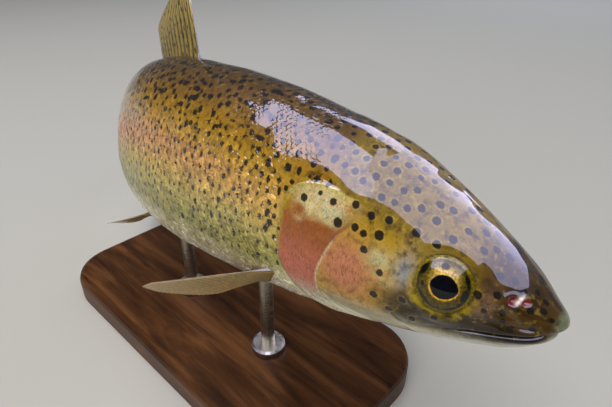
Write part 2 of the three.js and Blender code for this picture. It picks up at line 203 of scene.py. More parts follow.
def buildSections():
    turn = math.pi / 2 - np.linspace(0, 2 * math.pi, 2 * surfaceColumns + 1)
    depth = np.where(rowStations < 80, trout["headDepth"], trout["coatDepth"])
    depth = trout["headDepth"] + (trout["coatDepth"] - trout["headDepth"]) * smooth(rowStations, 62, 84)
    depth = depth * smooth(rowStations, -1, 4) * (1 - 0.8 * smooth(rowStations, 355, 372))
    right, up = sectionPoint(rowStations[:, None], turn[None, :], -depth[:, None])
    length = np.concatenate([np.zeros((len(right), 1)), np.cumsum(np.hypot(np.diff(right), np.diff(up)), 1)], 1)
    even = np.linspace(0, 1, surfaceColumns + 1)
    rights = np.array([np.interp(even * total[-1], total, row) for total, row in zip(length, right)])
    ups = np.array([np.interp(even * total[-1], total, row) for total, row in zip(length, up)])
    return rights, ups, length[:, -1]


gridRight, gridUp, girth = buildSections()
gridStation = np.repeat(rowStations[:, None], surfaceColumns + 1, 1)
gridShare = np.repeat(np.linspace(0, 1, surfaceColumns + 1)[None, :], len(rowStations), 0)
middle = ((backHeight(rowStations) + bellyHeight(rowStations)) / 2)[:, None]
halfDepth = ((backHeight(rowStations) - bellyHeight(rowStations)) / 2)[:, None]
gridHeight = (gridUp - middle) / np.maximum(halfDepth, 0.1)  # -1 at the belly, 1 at the back
gridOut = np.abs(gridRight)


def normalsOf(points):
    down = np.empty_like(points)
    down[:, 1:-1] = points[:, 2:] - points[:, :-2]
    down[:, 0] = down[:, -1] = points[:, 1] - points[:, -2]
    back = np.gradient(points, rowStations, axis=0)
    normals = np.cross(down, back)
    normals /= np.maximum(np.linalg.norm(normals, axis=-1, keepdims=True), 1e-9)
    return normals


plainPoints = place(gridStation, gridRight, gridUp)
plainNormals = normalsOf(plainPoints)
if np.mean(np.sum(plainNormals * (plainPoints - plainPoints.mean(1, keepdims=True)), -1)) < 0:
    plainNormals = -plainNormals
print("body surface:", gridStation.shape)


# lines on the side of the head, as (station, up)
def lineThrough(points, steps=14, closed=False):
    knots = np.array(points, float)
    before = np.roll(knots, 1, 0) if closed else np.vstack([2 * knots[0] - knots[1], knots[:-1]])
    count = len(knots) if closed else len(knots) - 1
    pieces = []
    for i in range(count):
        a, b, c = before[i], knots[i], knots[(i + 1) % len(knots)]
        d = knots[(i + 2) % len(knots)] if closed or i + 2 < len(knots) else 2 * c - b
        t = np.linspace(0, 1, steps, endpoint=False)[:, None]
        pieces.append(0.5 * (2 * b + (c - a) * t + (2 * a - 5 * b + 4 * c - d) * t ** 2 + (3 * b - a - 3 * c + d) * t ** 3))
    return np.vstack(pieces + [knots[:1] if closed else knots[-1:]])


# Distance to a line, positive on its left going along it or outside it where it is closed, and how far along
# the nearest point is.
def lineField(line, x, y, closed=False):
    best = np.full(x.shape, 1e9)
    side = np.ones(x.shape)
    run = np.zeros(x.shape)
    within = np.zeros(x.shape, bool)
    lengths = np.concatenate([[0], np.cumsum(np.hypot(*np.diff(line, axis=0).T))])
    for i in range(len(line) - 1):
        dx, dy = line[i + 1] - line[i]
        span = max(math.hypot(dx, dy), 1e-6)
        t = np.clip(((x - line[i][0]) * dx + (y - line[i][1]) * dy) / span ** 2, 0, 1)
        gap = np.hypot(x - line[i][0] - t * dx, y - line[i][1] - t * dy)
        nearer = gap < best
        cross = dx * (y - line[i][1]) - dy * (x - line[i][0])
        best = np.where(nearer, gap, best)
        side = np.where(nearer, np.sign(cross), side)
        run = np.where(nearer, (lengths[i] + t * span) / lengths[-1], run)
        level = (line[i][1] > y) != (line[i + 1][1] > y)
        within ^= level & (x < line[i][0] + (y - line[i][1]) * dx / (dy if dy else 1))
    if closed:
        side = np.where(within, -1, 1)
    return best * np.where(side == 0, 1, side), run


headLines = {
    "mouth": [(-1.5, -1.7), (1, -2.7), (3, -3.7), (7, -5.2), (12, -6.8), (21, -10), (30, -13.6), (37.5, -16)],
    "preopercle": [(55, 9), (58.5, 6), (61, 2), (63.4, -4), (65.2, -9.5), (66, -14.5), (65, -20), (60, -24.5), (50, -26.5)],
    "opercleEdge": [(60, 15.6), (67, 16.8), (73, 16.2), (78.5, 13.8), (81.6, 9.5), (82.8, 3.5), (82.8, -2.5), (82.2, -8),
                    (80, -15), (75.5, -21.5), (69, -26.5), (61, -30), (53, -32)],
    "subopercle": [(65.6, -14), (70, -13.2), (76, -10.6), (81.5, -6.2)],
    "interopercle": [(48, -22.5), (55, -21.5), (61, -20), (66, -17)],
    "maxilla": [(5, -2.8), (12, -3.6), (22, -5.6), (31, -8.2), (37.6, -10.6), (40, -13.2), (37.6, -15.4), (30, -13),
                (20, -9.2), (11, -6.2), (5.4, -4.4)],
    "supramaxilla": [(21, -5.9), (28, -6.7), (34.5, -8.6), (36.8, -10.4), (33, -10), (26, -8.2)],
    "gillTop": [(66, 16.5), (71, 18.4), (76, 17.6), (81, 13)],
}
headRows = rowStations < headEnd
headS, headU, headR, headH = (grid[headRows] for grid in (gridStation, gridUp, gridOut, gridHeight))
fields = {}
for name, points in headLines.items():
    closed = name in ("maxilla", "supramaxilla")
    fields[name] = lineField(lineThrough(points, 8, closed), headS, headU, closed)
print("head lines measured")

eye = {
    "station": 28.0,
    "right": 17.3,
    "up": 2.1,
    "radius": 8.6,
    "depth": 5.9,
    "sunk": 3.7,
    "forward": 0.27,
    "lift": 0.14,
    "opening": 7.8,    # radius of the hole in the skin
    "hug": 4.2,        # how far round it the skin sinks to meet the eyeball
    "iris": 6.7,
    "pupil": 3.5,
}
eyeOut = np.array([-eye["forward"], 1, eye["lift"]])  # in station, right, up
eyeOut /= np.linalg.norm(eyeOut)
eyeCentre = np.array([eye["station"], eye["right"], eye["up"]]) - eye["sunk"] * eyeOut
fromEye = np.stack([headS, headR, headU], -1) - eyeCentre
eyeAxial = fromEye @ eyeOut
eyeFlat = fromEye - eyeAxial[..., None] * eyeOut
eyeRadial = np.hypot(np.linalg.norm(eyeFlat, axis=-1), 2.5 * np.maximum(-eyeAxial, 0))
eyeUpward = eyeFlat[..., 2] / np.maximum(eyeRadial, 0.1)


def softNoise(cellsLong, cellsRound, seed):
    lattice = np.random.default_rng(seed).uniform(-1, 1, (cellsLong + 2, cellsRound))
    x = np.interp(rowStations, [0, tailEnd], [0, cellsLong])[:, None] * np.ones((1, surfaceColumns + 1))
    y = gridShare * cellsRound
    i, j = np.floor(x).astype(int), np.floor(y).astype(int)
    u, v = x - i, y - j
    u, v = u * u * (3 - 2 * u), v * v * (3 - 2 * v)
    j, k = j % cellsRound, (j + 1) % cellsRound
    i = np.minimum(i, cellsLong)
    return ((lattice[i, j] * (1 - u) + lattice[i + 1, j] * u) * (1 - v)
            + (lattice[i, k] * (1 - u) + lattice[i + 1, k] * u) * v)


# the nostril's two openings and the flap that stands between them, as (station, up)
nostril = {"rear": (12.1, 3.6), "front": (9.5, 4.0), "flap": (10.8, 4.2)}

relief = {
    "mouthDepth": 1.5,
    "mouthWidth": 0.5,
    "boneRise": 0.3,
    "coverRise": 0.25,
    "shoulderDrop": 1.25,
    "grooveDepth": 0.5,
    "rayHeight": 0.28,
    "lumps": 0.16,
}


def eyeSurface(radial):
    return eye["depth"] * np.sqrt(np.clip(1 - (radial / eye["radius"]) ** 2, 0, 1))


def nostrils():
    rear = np.hypot(headS - nostril["rear"][0], headU - nostril["rear"][1])
    front = np.hypot(headS - nostril["front"][0], headU - nostril["front"][1])
    flap = (bell(headS - nostril["flap"][0] + (headU - nostril["flap"][1]) * 0.25, 0, 0.5)
            * bell(headU, nostril["flap"][1], 1.05))
    return rear, front, flap


def headRelief():
    s, r, u = headS, headR, headU
    out = np.zeros(s.shape)
    # mouth slit with soft lips, fading at its corner
    gap, run = fields["mouth"]
    live = (1 - smooth(run, 0.93, 1.0))
    out -= relief["mouthDepth"] * bell(gap, 0, relief["mouthWidth"]) * live
    out += 0.35 * bell(gap, 1.3, 0.9) * live * (1 - smooth(run, 0.3, 0.5)) + 0.45 * bell(gap, -1.5, 1.0) * live
    # upper jaw bone with its small plate above
    gap, _ = fields["maxilla"]
    out += relief["boneRise"] * smooth(-gap, -0.5, 1.3) - 0.22 * bell(gap, 0.6, 0.6)
    gap, _ = fields["supramaxilla"]
    out += 0.14 * smooth(-gap, -0.4, 0.9)
    # cheek groove and the sutures of the gill cover
    gap, run = fields["preopercle"]
    live = smooth(run, 0, 0.08) * (1 - smooth(run, 0.8, 1))
    out -= relief["grooveDepth"] * bell(gap, 0, 0.55) * live
    out += 0.3 * bell(gap, -1.1, 0.9) * live
    out -= 0.22 * smooth(-gap, -2.5, 0.5) * smooth(gap, -9, -0.5) * live
    for name, depth in (("subopercle", 0.2), ("interopercle", 0.25), ("gillTop", 0.3)):
        gap, run = fields[name]
        out -= depth * bell(gap, 0, 0.6) * smooth(run, 0, 0.15) * (1 - smooth(run, 0.85, 1))
    # rear edge of the gill cover, standing over the shoulder
    gap, run = fields["opercleEdge"]
    inside = -gap
    live = smooth(run, 0.02, 0.2)
    out += np.where(gap < 0, relief["coverRise"] * np.exp(-inside / 2.5), 0) * live
    out -= np.where(gap >= 0, relief["shoulderDrop"] * np.exp(-gap / 3.2), 0) * live * (s < headEnd - 2)
    out += 0.12 * bell(inside, 2.2, 0.7) * live
    # gill rays under the throat
    throat = smooth(-u, 19, 24) * smooth(s, 44, 52) * smooth(inside, 0.5, 2) * (1 - smooth(inside, 11, 14))
    out += relief["rayHeight"] * np.cos(inside * 2 * math.pi / 2.3) * throat
    # chin: the two jaw halves meet in a groove, and the floor of the mouth lies between them
    under = smooth(-headH, 0.3, 0.6)
    jawHalf = np.interp(s, [4, 12, 24, 36, 46], [0.4, 3.2, 5.6, 7.6, 9.2])
    floor = under * smooth(s, 6, 12) * (1 - smooth(s, 42, 50))
    out -= 0.7 * bell(r, jawHalf, 0.7) * floor + 0.25 * smooth(jawHalf - r, 0, 1.2) * floor
    out -= 0.45 * bell(r, 0, 0.55) * under * smooth(s, 1.5, 5) * (1 - smooth(s, 40, 60))
    # the roof between the eyes, and the bony brow
    out -= 0.3 * bell(r, 0, 4.0) * smooth(headH, 0.5, 0.9) * smooth(s, 8, 30) * (1 - smooth(s, 40, 62))
    out += 0.45 * bell(eyeRadial, 10.8, 1.9) * smooth(eyeUpward, 0.1, 0.9)
    # cheek plates under and behind the eye
    out += 0.2 * bell(eyeRadial, 11.4, 1.6) * smooth(-eyeUpward, -0.1, 0.5)
    out -= 0.16 * bell(eyeRadial, 13.8, 0.8) * smooth(-eyeUpward, -0.3, 0.4)
    # nostrils: a hole with a flap standing in front of it
    rear, front, flap = nostrils()
    out -= 1.5 * smooth(-rear, -1.2, -0.5) + 0.9 * smooth(-front, -0.95, -0.3)
    out += 0.1 * bell(rear, 1.6, 0.5) + 0.08 * bell(front, 1.2, 0.45)
    out += 0.5 * flap
    return out


def wholeRelief():
    out = np.zeros(gridStation.shape)
    out[headRows] = headRelief()
    out += relief["lumps"] * softNoise(64, 30, 3) * smooth(gridStation, 4, 14)
    out += 0.25 * softNoise(22, 12, 4) * smooth(gridStation, 70, 110)
    return out


gridRelief = wholeRelief()
skinPoints = plainPoints + plainNormals * gridRelief[..., None]


# the skin dips under the eyeball and its rim hugs it
def openEyes(points):
    radial, axial = eyeRadial, eyeAxial + gridRelief[headRows]
    past = radial - eye["opening"]
    wanted = eyeSurface(np.minimum(radial, eye["opening"])) + np.clip(0.5 * past, -1.2, 0.2) + 0.3 * np.maximum(past - 0.4, 0)
    near = 1 - smooth(past, 0.3, eye["hug"])
    move = near * (wanted - axial)
    side = np.sign(gridRight[headRows])
    out = np.stack([-np.full(side.shape, eyeOut[0]), -eyeOut[1] * side, np.full(side.shape, eyeOut[2])], -1)
    points[headRows] += (out @ leanTurn.T) * move[..., None]
    return points


skinPoints = openEyes(skinPoints)
skinNormals = normalsOf(skinPoints)
skinNormals *= np.sign(np.sum(skinNormals * plainNormals, -1, keepdims=True))
print("skin relief done")


# spots, each an ellipse as (station, right, up, radius); most are scattered from a seed
cheekSpots = [
    (74.5, 24, 10.7, 1.3), (69.5, 23, 13.7, 0.8), (64.5, 22, 12.6, 1.2), (57.5, 21, 14.4, 1.2), (61, 23, 7.7, 1.5),
    (55.5, 22, 8.2, 1.25), (52.5, 22, 7.5, 1.1), (48, 21.5, 8.7, 1.45), (52, 20.4, 12.8, 1.2), (47, 19.2, 13.4, 1.2),
    (39, 17.4, 12.6, 1.3), (51, 22, 3.1, 1.15), (45, 20.5, -1.6, 1.1), (45.7, 20, -9.5, 1.2), (37.2, 18, -6.9, 1.1),
    (41, 18.5, -12.7, 1.1), (34, 16, -11.9, 1.0), (28, 15.5, -7.8, 0.9), (81.5, 24.7, -2.4, 0.7),
    (15.8, 12.4, 4, 1.0), (17, 10.7, 8.5, 1.0), (13.7, 9.1, 8.2, 1.0), (11, 8.5, 6.9, 0.8), (8.5, 6, 7.3, 0.7),
    (6, 5.3, 5.8, 0.8), (8, 9.1, 2.6, 0.9), (5.5, 7.1, 3.4, 0.9), (3.2, 5.9, 1.6, 0.7), (13.3, 12.2, 0, 0.9),
    (12.5, 11.8, -2.2, 0.7), (10.5, 10.9, -3.6, 0.9), (6, 8.6, -2.1, 0.8), (17.2, 13.6, -1.1, 0.7),
    (19.8, 14.8, 2.6, 1.1),
]
scatter = {
    "seed": 11,
    "tries": 60000,
    "headGap": 3.6,        # between spots on top of the head
    "headRadius": 1.12,
    "backGap": 2.85,
    "flankGap": 2.6,
    "backRadius": 1.25,
    "flankRadius": 0.86,
    "tallness": 1.45,      # flank spots are taller than long
}
opercleGap = np.full(gridStation.shape, 60.0)
opercleGap[headRows] = fields["opercleEdge"][0]


def shareOf(station, right, up):
    row = int(np.argmin(np.abs(rowStations - station)))
    column = int(np.argmin((gridRight[row] - right) ** 2 + (gridUp[row] - up) ** 2))
    return column / surfaceColumns


# how far apart spots lie here, or nothing where the skin is clear of them
def spotSpacing(station, height, coverGap, up):
    if station < 68:
        clear = height < 0.42 + 0.2 * float(smooth(station, 30, 60)) or station < 9
        return None if clear else scatter["headGap"]
    if height < -0.55 or (coverGap < 0.9 and up < 16.5):
        return None
    onBack = float(smooth(height, 0.1, 0.6))
    low = float(smooth(-height, -0.1, 0.5)) * (0.25 + 0.75 * float(smooth(station, 130, 230)))
    gap = scatter["flankGap"] + (scatter["backGap"] - scatter["flankGap"]) * onBack + 2.2 * low
    return gap * (1 - 0.15 * float(smooth(station, 200, 330)))


def scatterSpots():
    dice = random.Random(scatter["seed"])
    spots = []
    cells = {}

    def roomFor(station, across, gap):
        i, j = int(station // 6), int(across // 6)
        for di in (-1, 0, 1):
            for dj in (-1, 0, 1):
                for s, q, other in cells.get((i + di, j + dj), ()):
                    if math.hypot(s - station, (q - across) / 1.15) < (gap + other) / 2:
                        return False
        return True

    def keep(station, share, length, height, gap):
        around = float(np.interp(station, rowStations, girth))
        across = (share if share < 0.5 else share - 1) * around
        cells.setdefault((int(station // 6), int(across // 6)), []).append((station, across, gap))
        spots.append((station, share, length, height))

    for station, right, up, radius in cheekSpots:
        keep(station, shareOf(station, right, up), radius, radius, 4.0)
        if station > 20:
            continue
        keep(station + dice.uniform(-1, 1), shareOf(station, -right, up + dice.uniform(-1, 1)), radius, radius, 3.6)
    for station, right, up, radius in cheekSpots:
        if station > 20:
            moved = station + dice.uniform(-2.5, 2.5)
            keep(moved, shareOf(moved, -right, up + dice.uniform(-2, 2)), radius, radius, 4.0)
    for _ in range(scatter["tries"]):
        station, share = dice.uniform(9, 372), dice.random()
        row = int(np.argmin(np.abs(rowStations - station)))
        height = float(gridHeight[row, int(share * surfaceColumns)])
        column = int(share * surfaceColumns)
        gap = spotSpacing(station, height, float(opercleGap[row, column]), float(gridUp[row, column]))
        if gap is None:
            continue
        around = float(girth[row])
        across = (share if share < 0.5 else share - 1) * around
        eyeRange = math.hypot(station - 28, gridUp[row, column] - 1.5)
        if (station < 60 and eyeRange < 11) or not roomFor(station, across, gap):
            continue
        if station < 68:
            size = scatter["headRadius"] * dice.uniform(0.85, 1.1) * (0.8 + 0.2 * float(smooth(station, 8, 20)))
            keep(station, share, size, size, gap)
        else:
            onBack = float(smooth(height, 0.1, 0.6))
            size = scatter["flankRadius"] + (scatter["backRadius"] - scatter["flankRadius"]) * onBack
            size *= dice.uniform(0.7, 1.2)
            tall = 1 + (scatter["tallness"] - 1) * (1 - onBack)
            keep(station, share, size * dice.uniform(0.8, 1.1), size * tall * dice.uniform(0.85, 1.25), gap)
    return spots


# distance to the nearest spot's edge, worked out over the whole surface
def spotField(spots):
    field = np.full(gridStation.shape, 4.0)
    for station, share, length, height in spots:
        low, high = np.searchsorted(rowStations, [station - length - 3, station + length + 3])
        low, high = max(low, 0), min(high, len(rowStations))
        around = float(np.interp(station, rowStations, girth))
        reach = int((height + 3) / around * surfaceColumns) + 1
        centre = share * surfaceColumns
        columns = np.arange(int(centre) - reach, int(centre) + reach + 1)
        ds = (rowStations[low:high, None] - station) / length
        dq = (columns[None, :] - centre) / surfaceColumns * girth[low:high, None] / height
        gap = (np.hypot(ds, dq) - 1) * min(length, height)
        wrapped = columns % surfaceColumns
        field[low:high, wrapped] = np.minimum(field[low:high, wrapped], gap)
    field[:, -1] = field[:, 0]
    return field


spots = scatterSpots()
gridSpots = spotField(spots)
print("spots:", len(spots))


skinTones = {
    "backTop": "#43310f",
    "back": "#5a400f",
    "shoulder": "#8d6a12",
    "flank": "#aa8720",
    "middle": "#bf9d4c",
    "lowFlank": "#aca056",
    "lowest": "#8f8c46",
    "bellySide": "#cdc7a4",
    "belly": "#ebe8e0",
    "stripe": "#cc8a66",
    "crown": "#75600f",
    "snout": "#2b1b02",
    "snoutYellow": "#7f620c",
    "lip": "#6f7a60",
    "jaw": "#47461a",
    "chin": "#c9c6b0",
    "underEyeShade": "#0f0d02",
    "coverTop": "#cfc594",
    "coverMiddle": "#8c4f1e",
    "coverLow": "#aa5f49",
    "coverEdge": "#a2952c",
    "cheek": "#b57552",
    "cheekGold": "#a6861c",
    "silver": "#7f8894",
    "behindEyeShadow": "#241602",
    "green": "#a9b183",
    "edgePale": "#dccdaa",
    "orbit": "#978a10",
    "orbitFront": "#7d604c",
    "nostril": "#6a120c",
    "flap": "#efe2de",
    "groove": "#33240c",
    "halo": "#c2a950",
}


def paintSkin():
    s, u, h = gridStation, gridUp, gridHeight
    levels = [(-1, "belly"), (-0.72, "bellySide"), (-0.52, "lowest"), (-0.25, "lowFlank"), (0.02, "middle"),
              (0.3, "flank"), (0.55, "shoulder"), (0.8, "back"), (1, "backTop")]
    stops = [level for level, _ in levels]
    tones = np.array([linearColour(skinTones[tone]) for _, tone in levels])
    wobble = h + 0.05 * softNoise(40, 18, 8)
    paint = np.stack([np.interp(wobble, stops, tones[:, channel]) for channel in range(3)], -1)
    stripeUp = np.interp(s, [79, 175, 214, 300, 370], [6.8, 6.5, 1.8, -2, 0])
    stripeHalf = np.interp(s, [79, 214, 300, 370], [6.5, 7.5, 5.5, 4])
    strength = np.interp(s, [70, 100, 150, 200, 320, 372], [0.1, 0.2, 0.55, 0.95, 0.75, 0.3])
    paint = blendTo(paint, skinTones["stripe"], bell(u, stripeUp, stripeHalf) * strength * (0.9 + 0.2 * softNoise(50, 20, 9)))

    hs, hu, hh = headS, headU, headH
    head = paint[headRows].copy()
    inside = -fields["opercleEdge"][0]
    behindGroove, grooveRun = fields["preopercle"]
    onHead = np.clip(np.maximum(1 - smooth(hs, 62, 72), smooth(inside, -0.6, 0.2) * smooth(17.5 - hu, 0, 1)), 0, 1)
    top = smooth(hh, 0.15, 0.5)
    tone = np.zeros(hs.shape + (3,)) + linearColour(skinTones["cheekGold"])
    tone = blendTo(tone, skinTones["crown"], top)
    tone = blendTo(tone, skinTones["snout"], 1 - smooth(hs, 17, 27))
    blotch = softNoise(90, 50, 12)[headRows]
    fineBlotch = softNoise(210, 120, 14)[headRows]
    tone = blendTo(tone, skinTones["snoutYellow"], (0.1 + 0.12 * blotch) * (1 - smooth(hs, 18, 40)))
    # gill cover, orange-brown above and rose below, silvery along its top
    onCover = smooth(inside, -0.2, 0.4) * smooth(behindGroove, -0.3, 0.5) * smooth(hs, 52, 60) * (hu > -32)
    rise = np.clip((hu + 14) / 26, 0, 1)
    coverTone = np.zeros(hs.shape + (3,)) + linearColour(skinTones["coverLow"])
    coverTone = blendTo(coverTone, skinTones["coverMiddle"], smooth(rise, 0.15, 0.6))
    coverTone = blendTo(coverTone, skinTones["cheekGold"], 0.8 * smooth(rise + 0.15 * blotch, 0.65, 1.0))
    silvery = smooth(hs, 58, 64) * (1 - smooth(hs, 73, 80))
    coverTone = blendTo(coverTone, skinTones["coverTop"],
                        silvery * smooth(rise + 0.2 * blotch, 0.6, 1.0) * (0.85 + 0.35 * fineBlotch))
    coverTone = blendTo(coverTone, skinTones["coverEdge"], (1 - smooth(inside, 0.8, 3.2)) * smooth(hu, -14, -2) * 0.85)
    tone = tone + (coverTone - tone) * onCover[..., None]
    cheek = bell(hs, 56, 9) * bell(hu, -5, 9) * (1 - onCover)
    tone = blendTo(tone, skinTones["cheek"], cheek * 1.3)
    pearl = np.zeros(hs.shape)
    for place_, wide, tall, much, name in (
        ((38.6, 1.5), 2.8, 5.5, 0.95, "silver"), ((46, 2), 4, 3, 0.55, "green"), ((63, 9.5), 3.4, 2.8, 0.6, "green"),
    ):
        patch = bell(hs, place_[0], wide) * bell(hu, place_[1], tall)
        tone = blendTo(tone, skinTones[name], much * patch)
        pearl += patch if name == "green" else 0
    pearl += 0.7 * bell(hs, 43.5, 4.5) * bell(hu, -3.5, 2.2) + 0.6 * onCover * smooth(rise, 0.8, 1)
    paleLine = bell(behindGroove, 0.15, 0.28) * smooth(grooveRun, 0.12, 0.25) * (1 - smooth(grooveRun, 0.6, 0.8))
    tone = blendTo(tone, skinTones["edgePale"], 0.8 * paleLine)
    # painted shade, near black, under the eye over its dark olive skin, and a painted shadow behind and below it; jaws
    # greener, then white under the chin
    underTop = np.interp(hs, [10, 16, 28], [2.0, 0.0, 3.2])
    under = smooth(-hu - underTop, 0, 3.8) * (1 - smooth(hs, 36, 50))
    # painted shade under the eye, laid over the dark olive skin there
    tone = blendTo(tone, skinTones["underEyeShade"], under * 0.95)
    # painted shadow behind and below the eye
    tone = blendTo(tone, skinTones["behindEyeShadow"], 0.85 * bell(hs, 37.3, 2.3) * bell(hu, -5.3, 3.2))
    low = smooth(-hu, 8.5 + hs * 0.12, 12 + hs * 0.16)
    tone = blendTo(tone, skinTones["jaw"], low * (1 - onCover * smooth(hs, 60, 70) * smooth(hu, -24, -16)))
    tone = blendTo(tone, skinTones["chin"], smooth(-hh, 0.5, 0.85))
    tone = blendTo(tone, skinTones["lip"], (1 - smooth(hs, 1.0, 3.0)) * 0.85)
    tone = blendTo(tone, skinTones["orbitFront"], 0.6 * bell(hs, 17.6, 2.4) * bell(hu, 0.5, 4.5))
    # yellow-green skin round the eye, painted brighter on its lower rear side as a lit crescent
    lowRear = np.clip(0.5 - 0.7 * eyeUpward + 0.5 * smooth(hs, 26, 36), 0, 1)
    tone = blendTo(tone, skinTones["orbit"], (0.45 + 0.7 * fineBlotch) * lowRear * bell(eyeRadial, eye["opening"] + 0.8, 1.1))
    # a thin line of painted shade in the crease where the skin meets the eyeball
    tone = blendTo(tone, skinTones["groove"], 0.8 * bell(eyeRadial, eye["opening"] + 0.15, 0.25))
    # painted shade in the folds of the mouth and along the edge of the upper jaw bone, red in the nostrils
    folds = bell(fields["mouth"][0], 0, 0.5) * (1 - smooth(fields["mouth"][1], 0.95, 1))
    tone = blendTo(tone, skinTones["groove"], 0.85 * folds + 0.4 * bell(fields["maxilla"][0], 0.3, 0.35))
    rear, front, flap = nostrils()
    tone = blendTo(tone, skinTones["nostril"], smooth(-rear, -1.5, -0.9) + smooth(-front, -1.2, -0.6))
    tone = blendTo(tone, skinTones["flap"], flap * 1.4)
    haloed = smooth(gridSpots[headRows], -0.1, 0.15) * (1 - smooth(gridSpots[headRows], 0.2, 0.6))
    tone = blendTo(tone, skinTones["halo"], 0.22 * haloed * smooth(hs, 17, 32))
    paint[headRows] = head + (tone - head) * onHead[..., None]
    return paint, onHead, onCover, cheek, pearl


gridPaint, onHead, onCover, cheekWeight, headPearl = paintSkin()
gridSpeckle = np.zeros(gridStation.shape)
gridSpeckle[headRows] = np.clip(onCover * 0.9 + cheekWeight * 1.2, 0, 1)
gridMottle = 0.75 * np.ones(gridStation.shape)
gridMottle[headRows] += onHead * (0.25 - 0.65 * np.clip(onCover + cheekWeight, 0, 1))
gridMottle *= smooth(gridHeight, -0.9, -0.4)
gridPearl = np.zeros(gridStation.shape)
gridPearl[headRows] = np.clip(headPearl, 0, 1) * onHead
gridShine = 0.04 + 0.22 * smooth(0.1 - gridHeight, 0, 0.8)
gridShine[headRows] *= 1 - 0.6 * onHead
gridWet = 1 - 0.45 * smooth(gridStation, 90, 160) * smooth(0.35 - gridHeight, 0, 0.3)
print("skin painted")


def makeMesh(name, points, faceSizes, corners, values=None, uv=None, smoothFaces=True):
    # smoothFaces is one answer for all faces, or one for each
    mesh = bpy.data.meshes.new(name)
    mesh.vertices.add(len(points))
    mesh.vertices.foreach_set("co", np.asarray(points * mm, np.float32).ravel())
    mesh.loops.add(len(corners))
    mesh.loops.foreach_set("vertex_index", np.asarray(corners, np.int32))
    mesh.polygons.add(len(faceSizes))
    starts = np.concatenate([[0], np.cumsum(faceSizes)[:-1]])
    mesh.polygons.foreach_set("loop_start", np.asarray(starts, np.int32))
    mesh.update(calc_edges=True)
    mesh.polygons.foreach_set("use_smooth", np.broadcast_to(smoothFaces, len(faceSizes)).copy())
    for key, value in (values or {}).items():
        if value.ndim == 2:
            layer = mesh.attributes.new(key, "FLOAT_COLOR", "POINT")
            layer.data.foreach_set("color", np.column_stack([value, np.ones(len(value))]).astype(np.float32).ravel())
        else:
            layer = mesh.attributes.new(key, "FLOAT", "POINT")
            layer.data.foreach_set("value", value.astype(np.float32))
    if uv is not None:
        layer = mesh.uv_layers.new(name="OFBake")
        layer.data.foreach_set("uv", uv[corners].astype(np.float32).ravel())
    piece = bpy.data.objects.new(name, mesh)
    bpy.context.scene.collection.objects.link(piece)
    return piece


fleshNodes = ["head", "lower_jaw", "upper_jaw_right", "upper_jaw_left", "gill_cover_right", "gill_cover_left", "trunk", "tail_stalk"]


def buildSkin():
    trunkRows = np.where(~headRows)[0][::4]
    rows = np.concatenate([np.where(headRows)[0], trunkRows, [len(rowStations) - 1]])
    columns = np.arange(0, surfaceColumns, 2)
    count = len(columns)
    pick = np.ix_(rows, columns)
    tip = place(0, 0, 0)[None]
    tailMiddle = skinPoints[-1].mean(0)[None]
    points = np.vstack([tip, skinPoints[pick].reshape(-1, 3), tailMiddle])
    ring = np.arange(len(rows))[:, None] * count + np.arange(count)[None, :] + 1
    beside = np.roll(ring, -1, 1)
    quads = np.stack([ring[:-1], beside[:-1], beside[1:], ring[1:]], -1).reshape(-1, 4)
    first = np.stack([np.zeros(count, int), beside[0], ring[0]], -1)
    last = np.stack([np.full(count, len(points) - 1), ring[-1], beside[-1]], -1)
    corners = np.concatenate([quads.ravel(), first.ravel(), last.ravel()])
    sizes = np.concatenate([np.full(len(quads), 4), np.full(2 * count, 3)])

    def spread(grid):
        body = grid[pick].reshape(-1, *grid.shape[2:])
        return np.concatenate([body[:1], body, body[-1:]])

    values = {"paint": spread(gridPaint), "spotEdge": spread(gridSpots), "speckle": spread(gridSpeckle),
              "mottle": spread(gridMottle), "pearl": spread(gridPearl), "shine": spread(gridShine), "wet": spread(gridWet)}
    long = np.interp(spread(gridStation), [0, 90, tailEnd], [0.01, 0.5, 0.99])
    uv = np.stack([long, 0.01 + 0.98 * spread(gridShare)], -1)
    return makeMesh("trout_skin", points, sizes, corners, values, uv)


def addNode(tree, kind, sockets=None, **settings):
    node = tree.nodes.new("ShaderNode" + kind)
    for key, value in settings.items():
        setattr(node, key, value)
    for key, value in (sockets or {}).items():
        if isinstance(value, bpy.types.NodeSocket):
            tree.links.new(value, node.inputs[key])
        else:
            node.inputs[key].default_value = value
    return node


def newMaterial(name):
    material = bpy.data.materials.new(name)
    material.use_nodes = True
    material.node_tree.nodes.clear()
    return material, material.node_tree


def rgba(hexText):
    return (*linearColour(hexText), 1)


# Living trout skin under a film of water: a wet gloss over mottled, slightly silvery pigment, with pearly
# glints on the cheek.
wetSkin = {
    "spot": "#120d08",
    "spotSoft": 0.2,           # mm
    "mottleSize": 2.6,
    "mottleDark": "#261904",
    "fleckSize": 1.9,
    "fleckTone": "#d2b858",
    "grainSize": 0.5,
    "strokeTone": "#6b3617",
    "pearlSize": 2.2,
    "roughness": 0.42,
    "coatRoughness": 0.03,
    "coatIOR": 1.42,
}


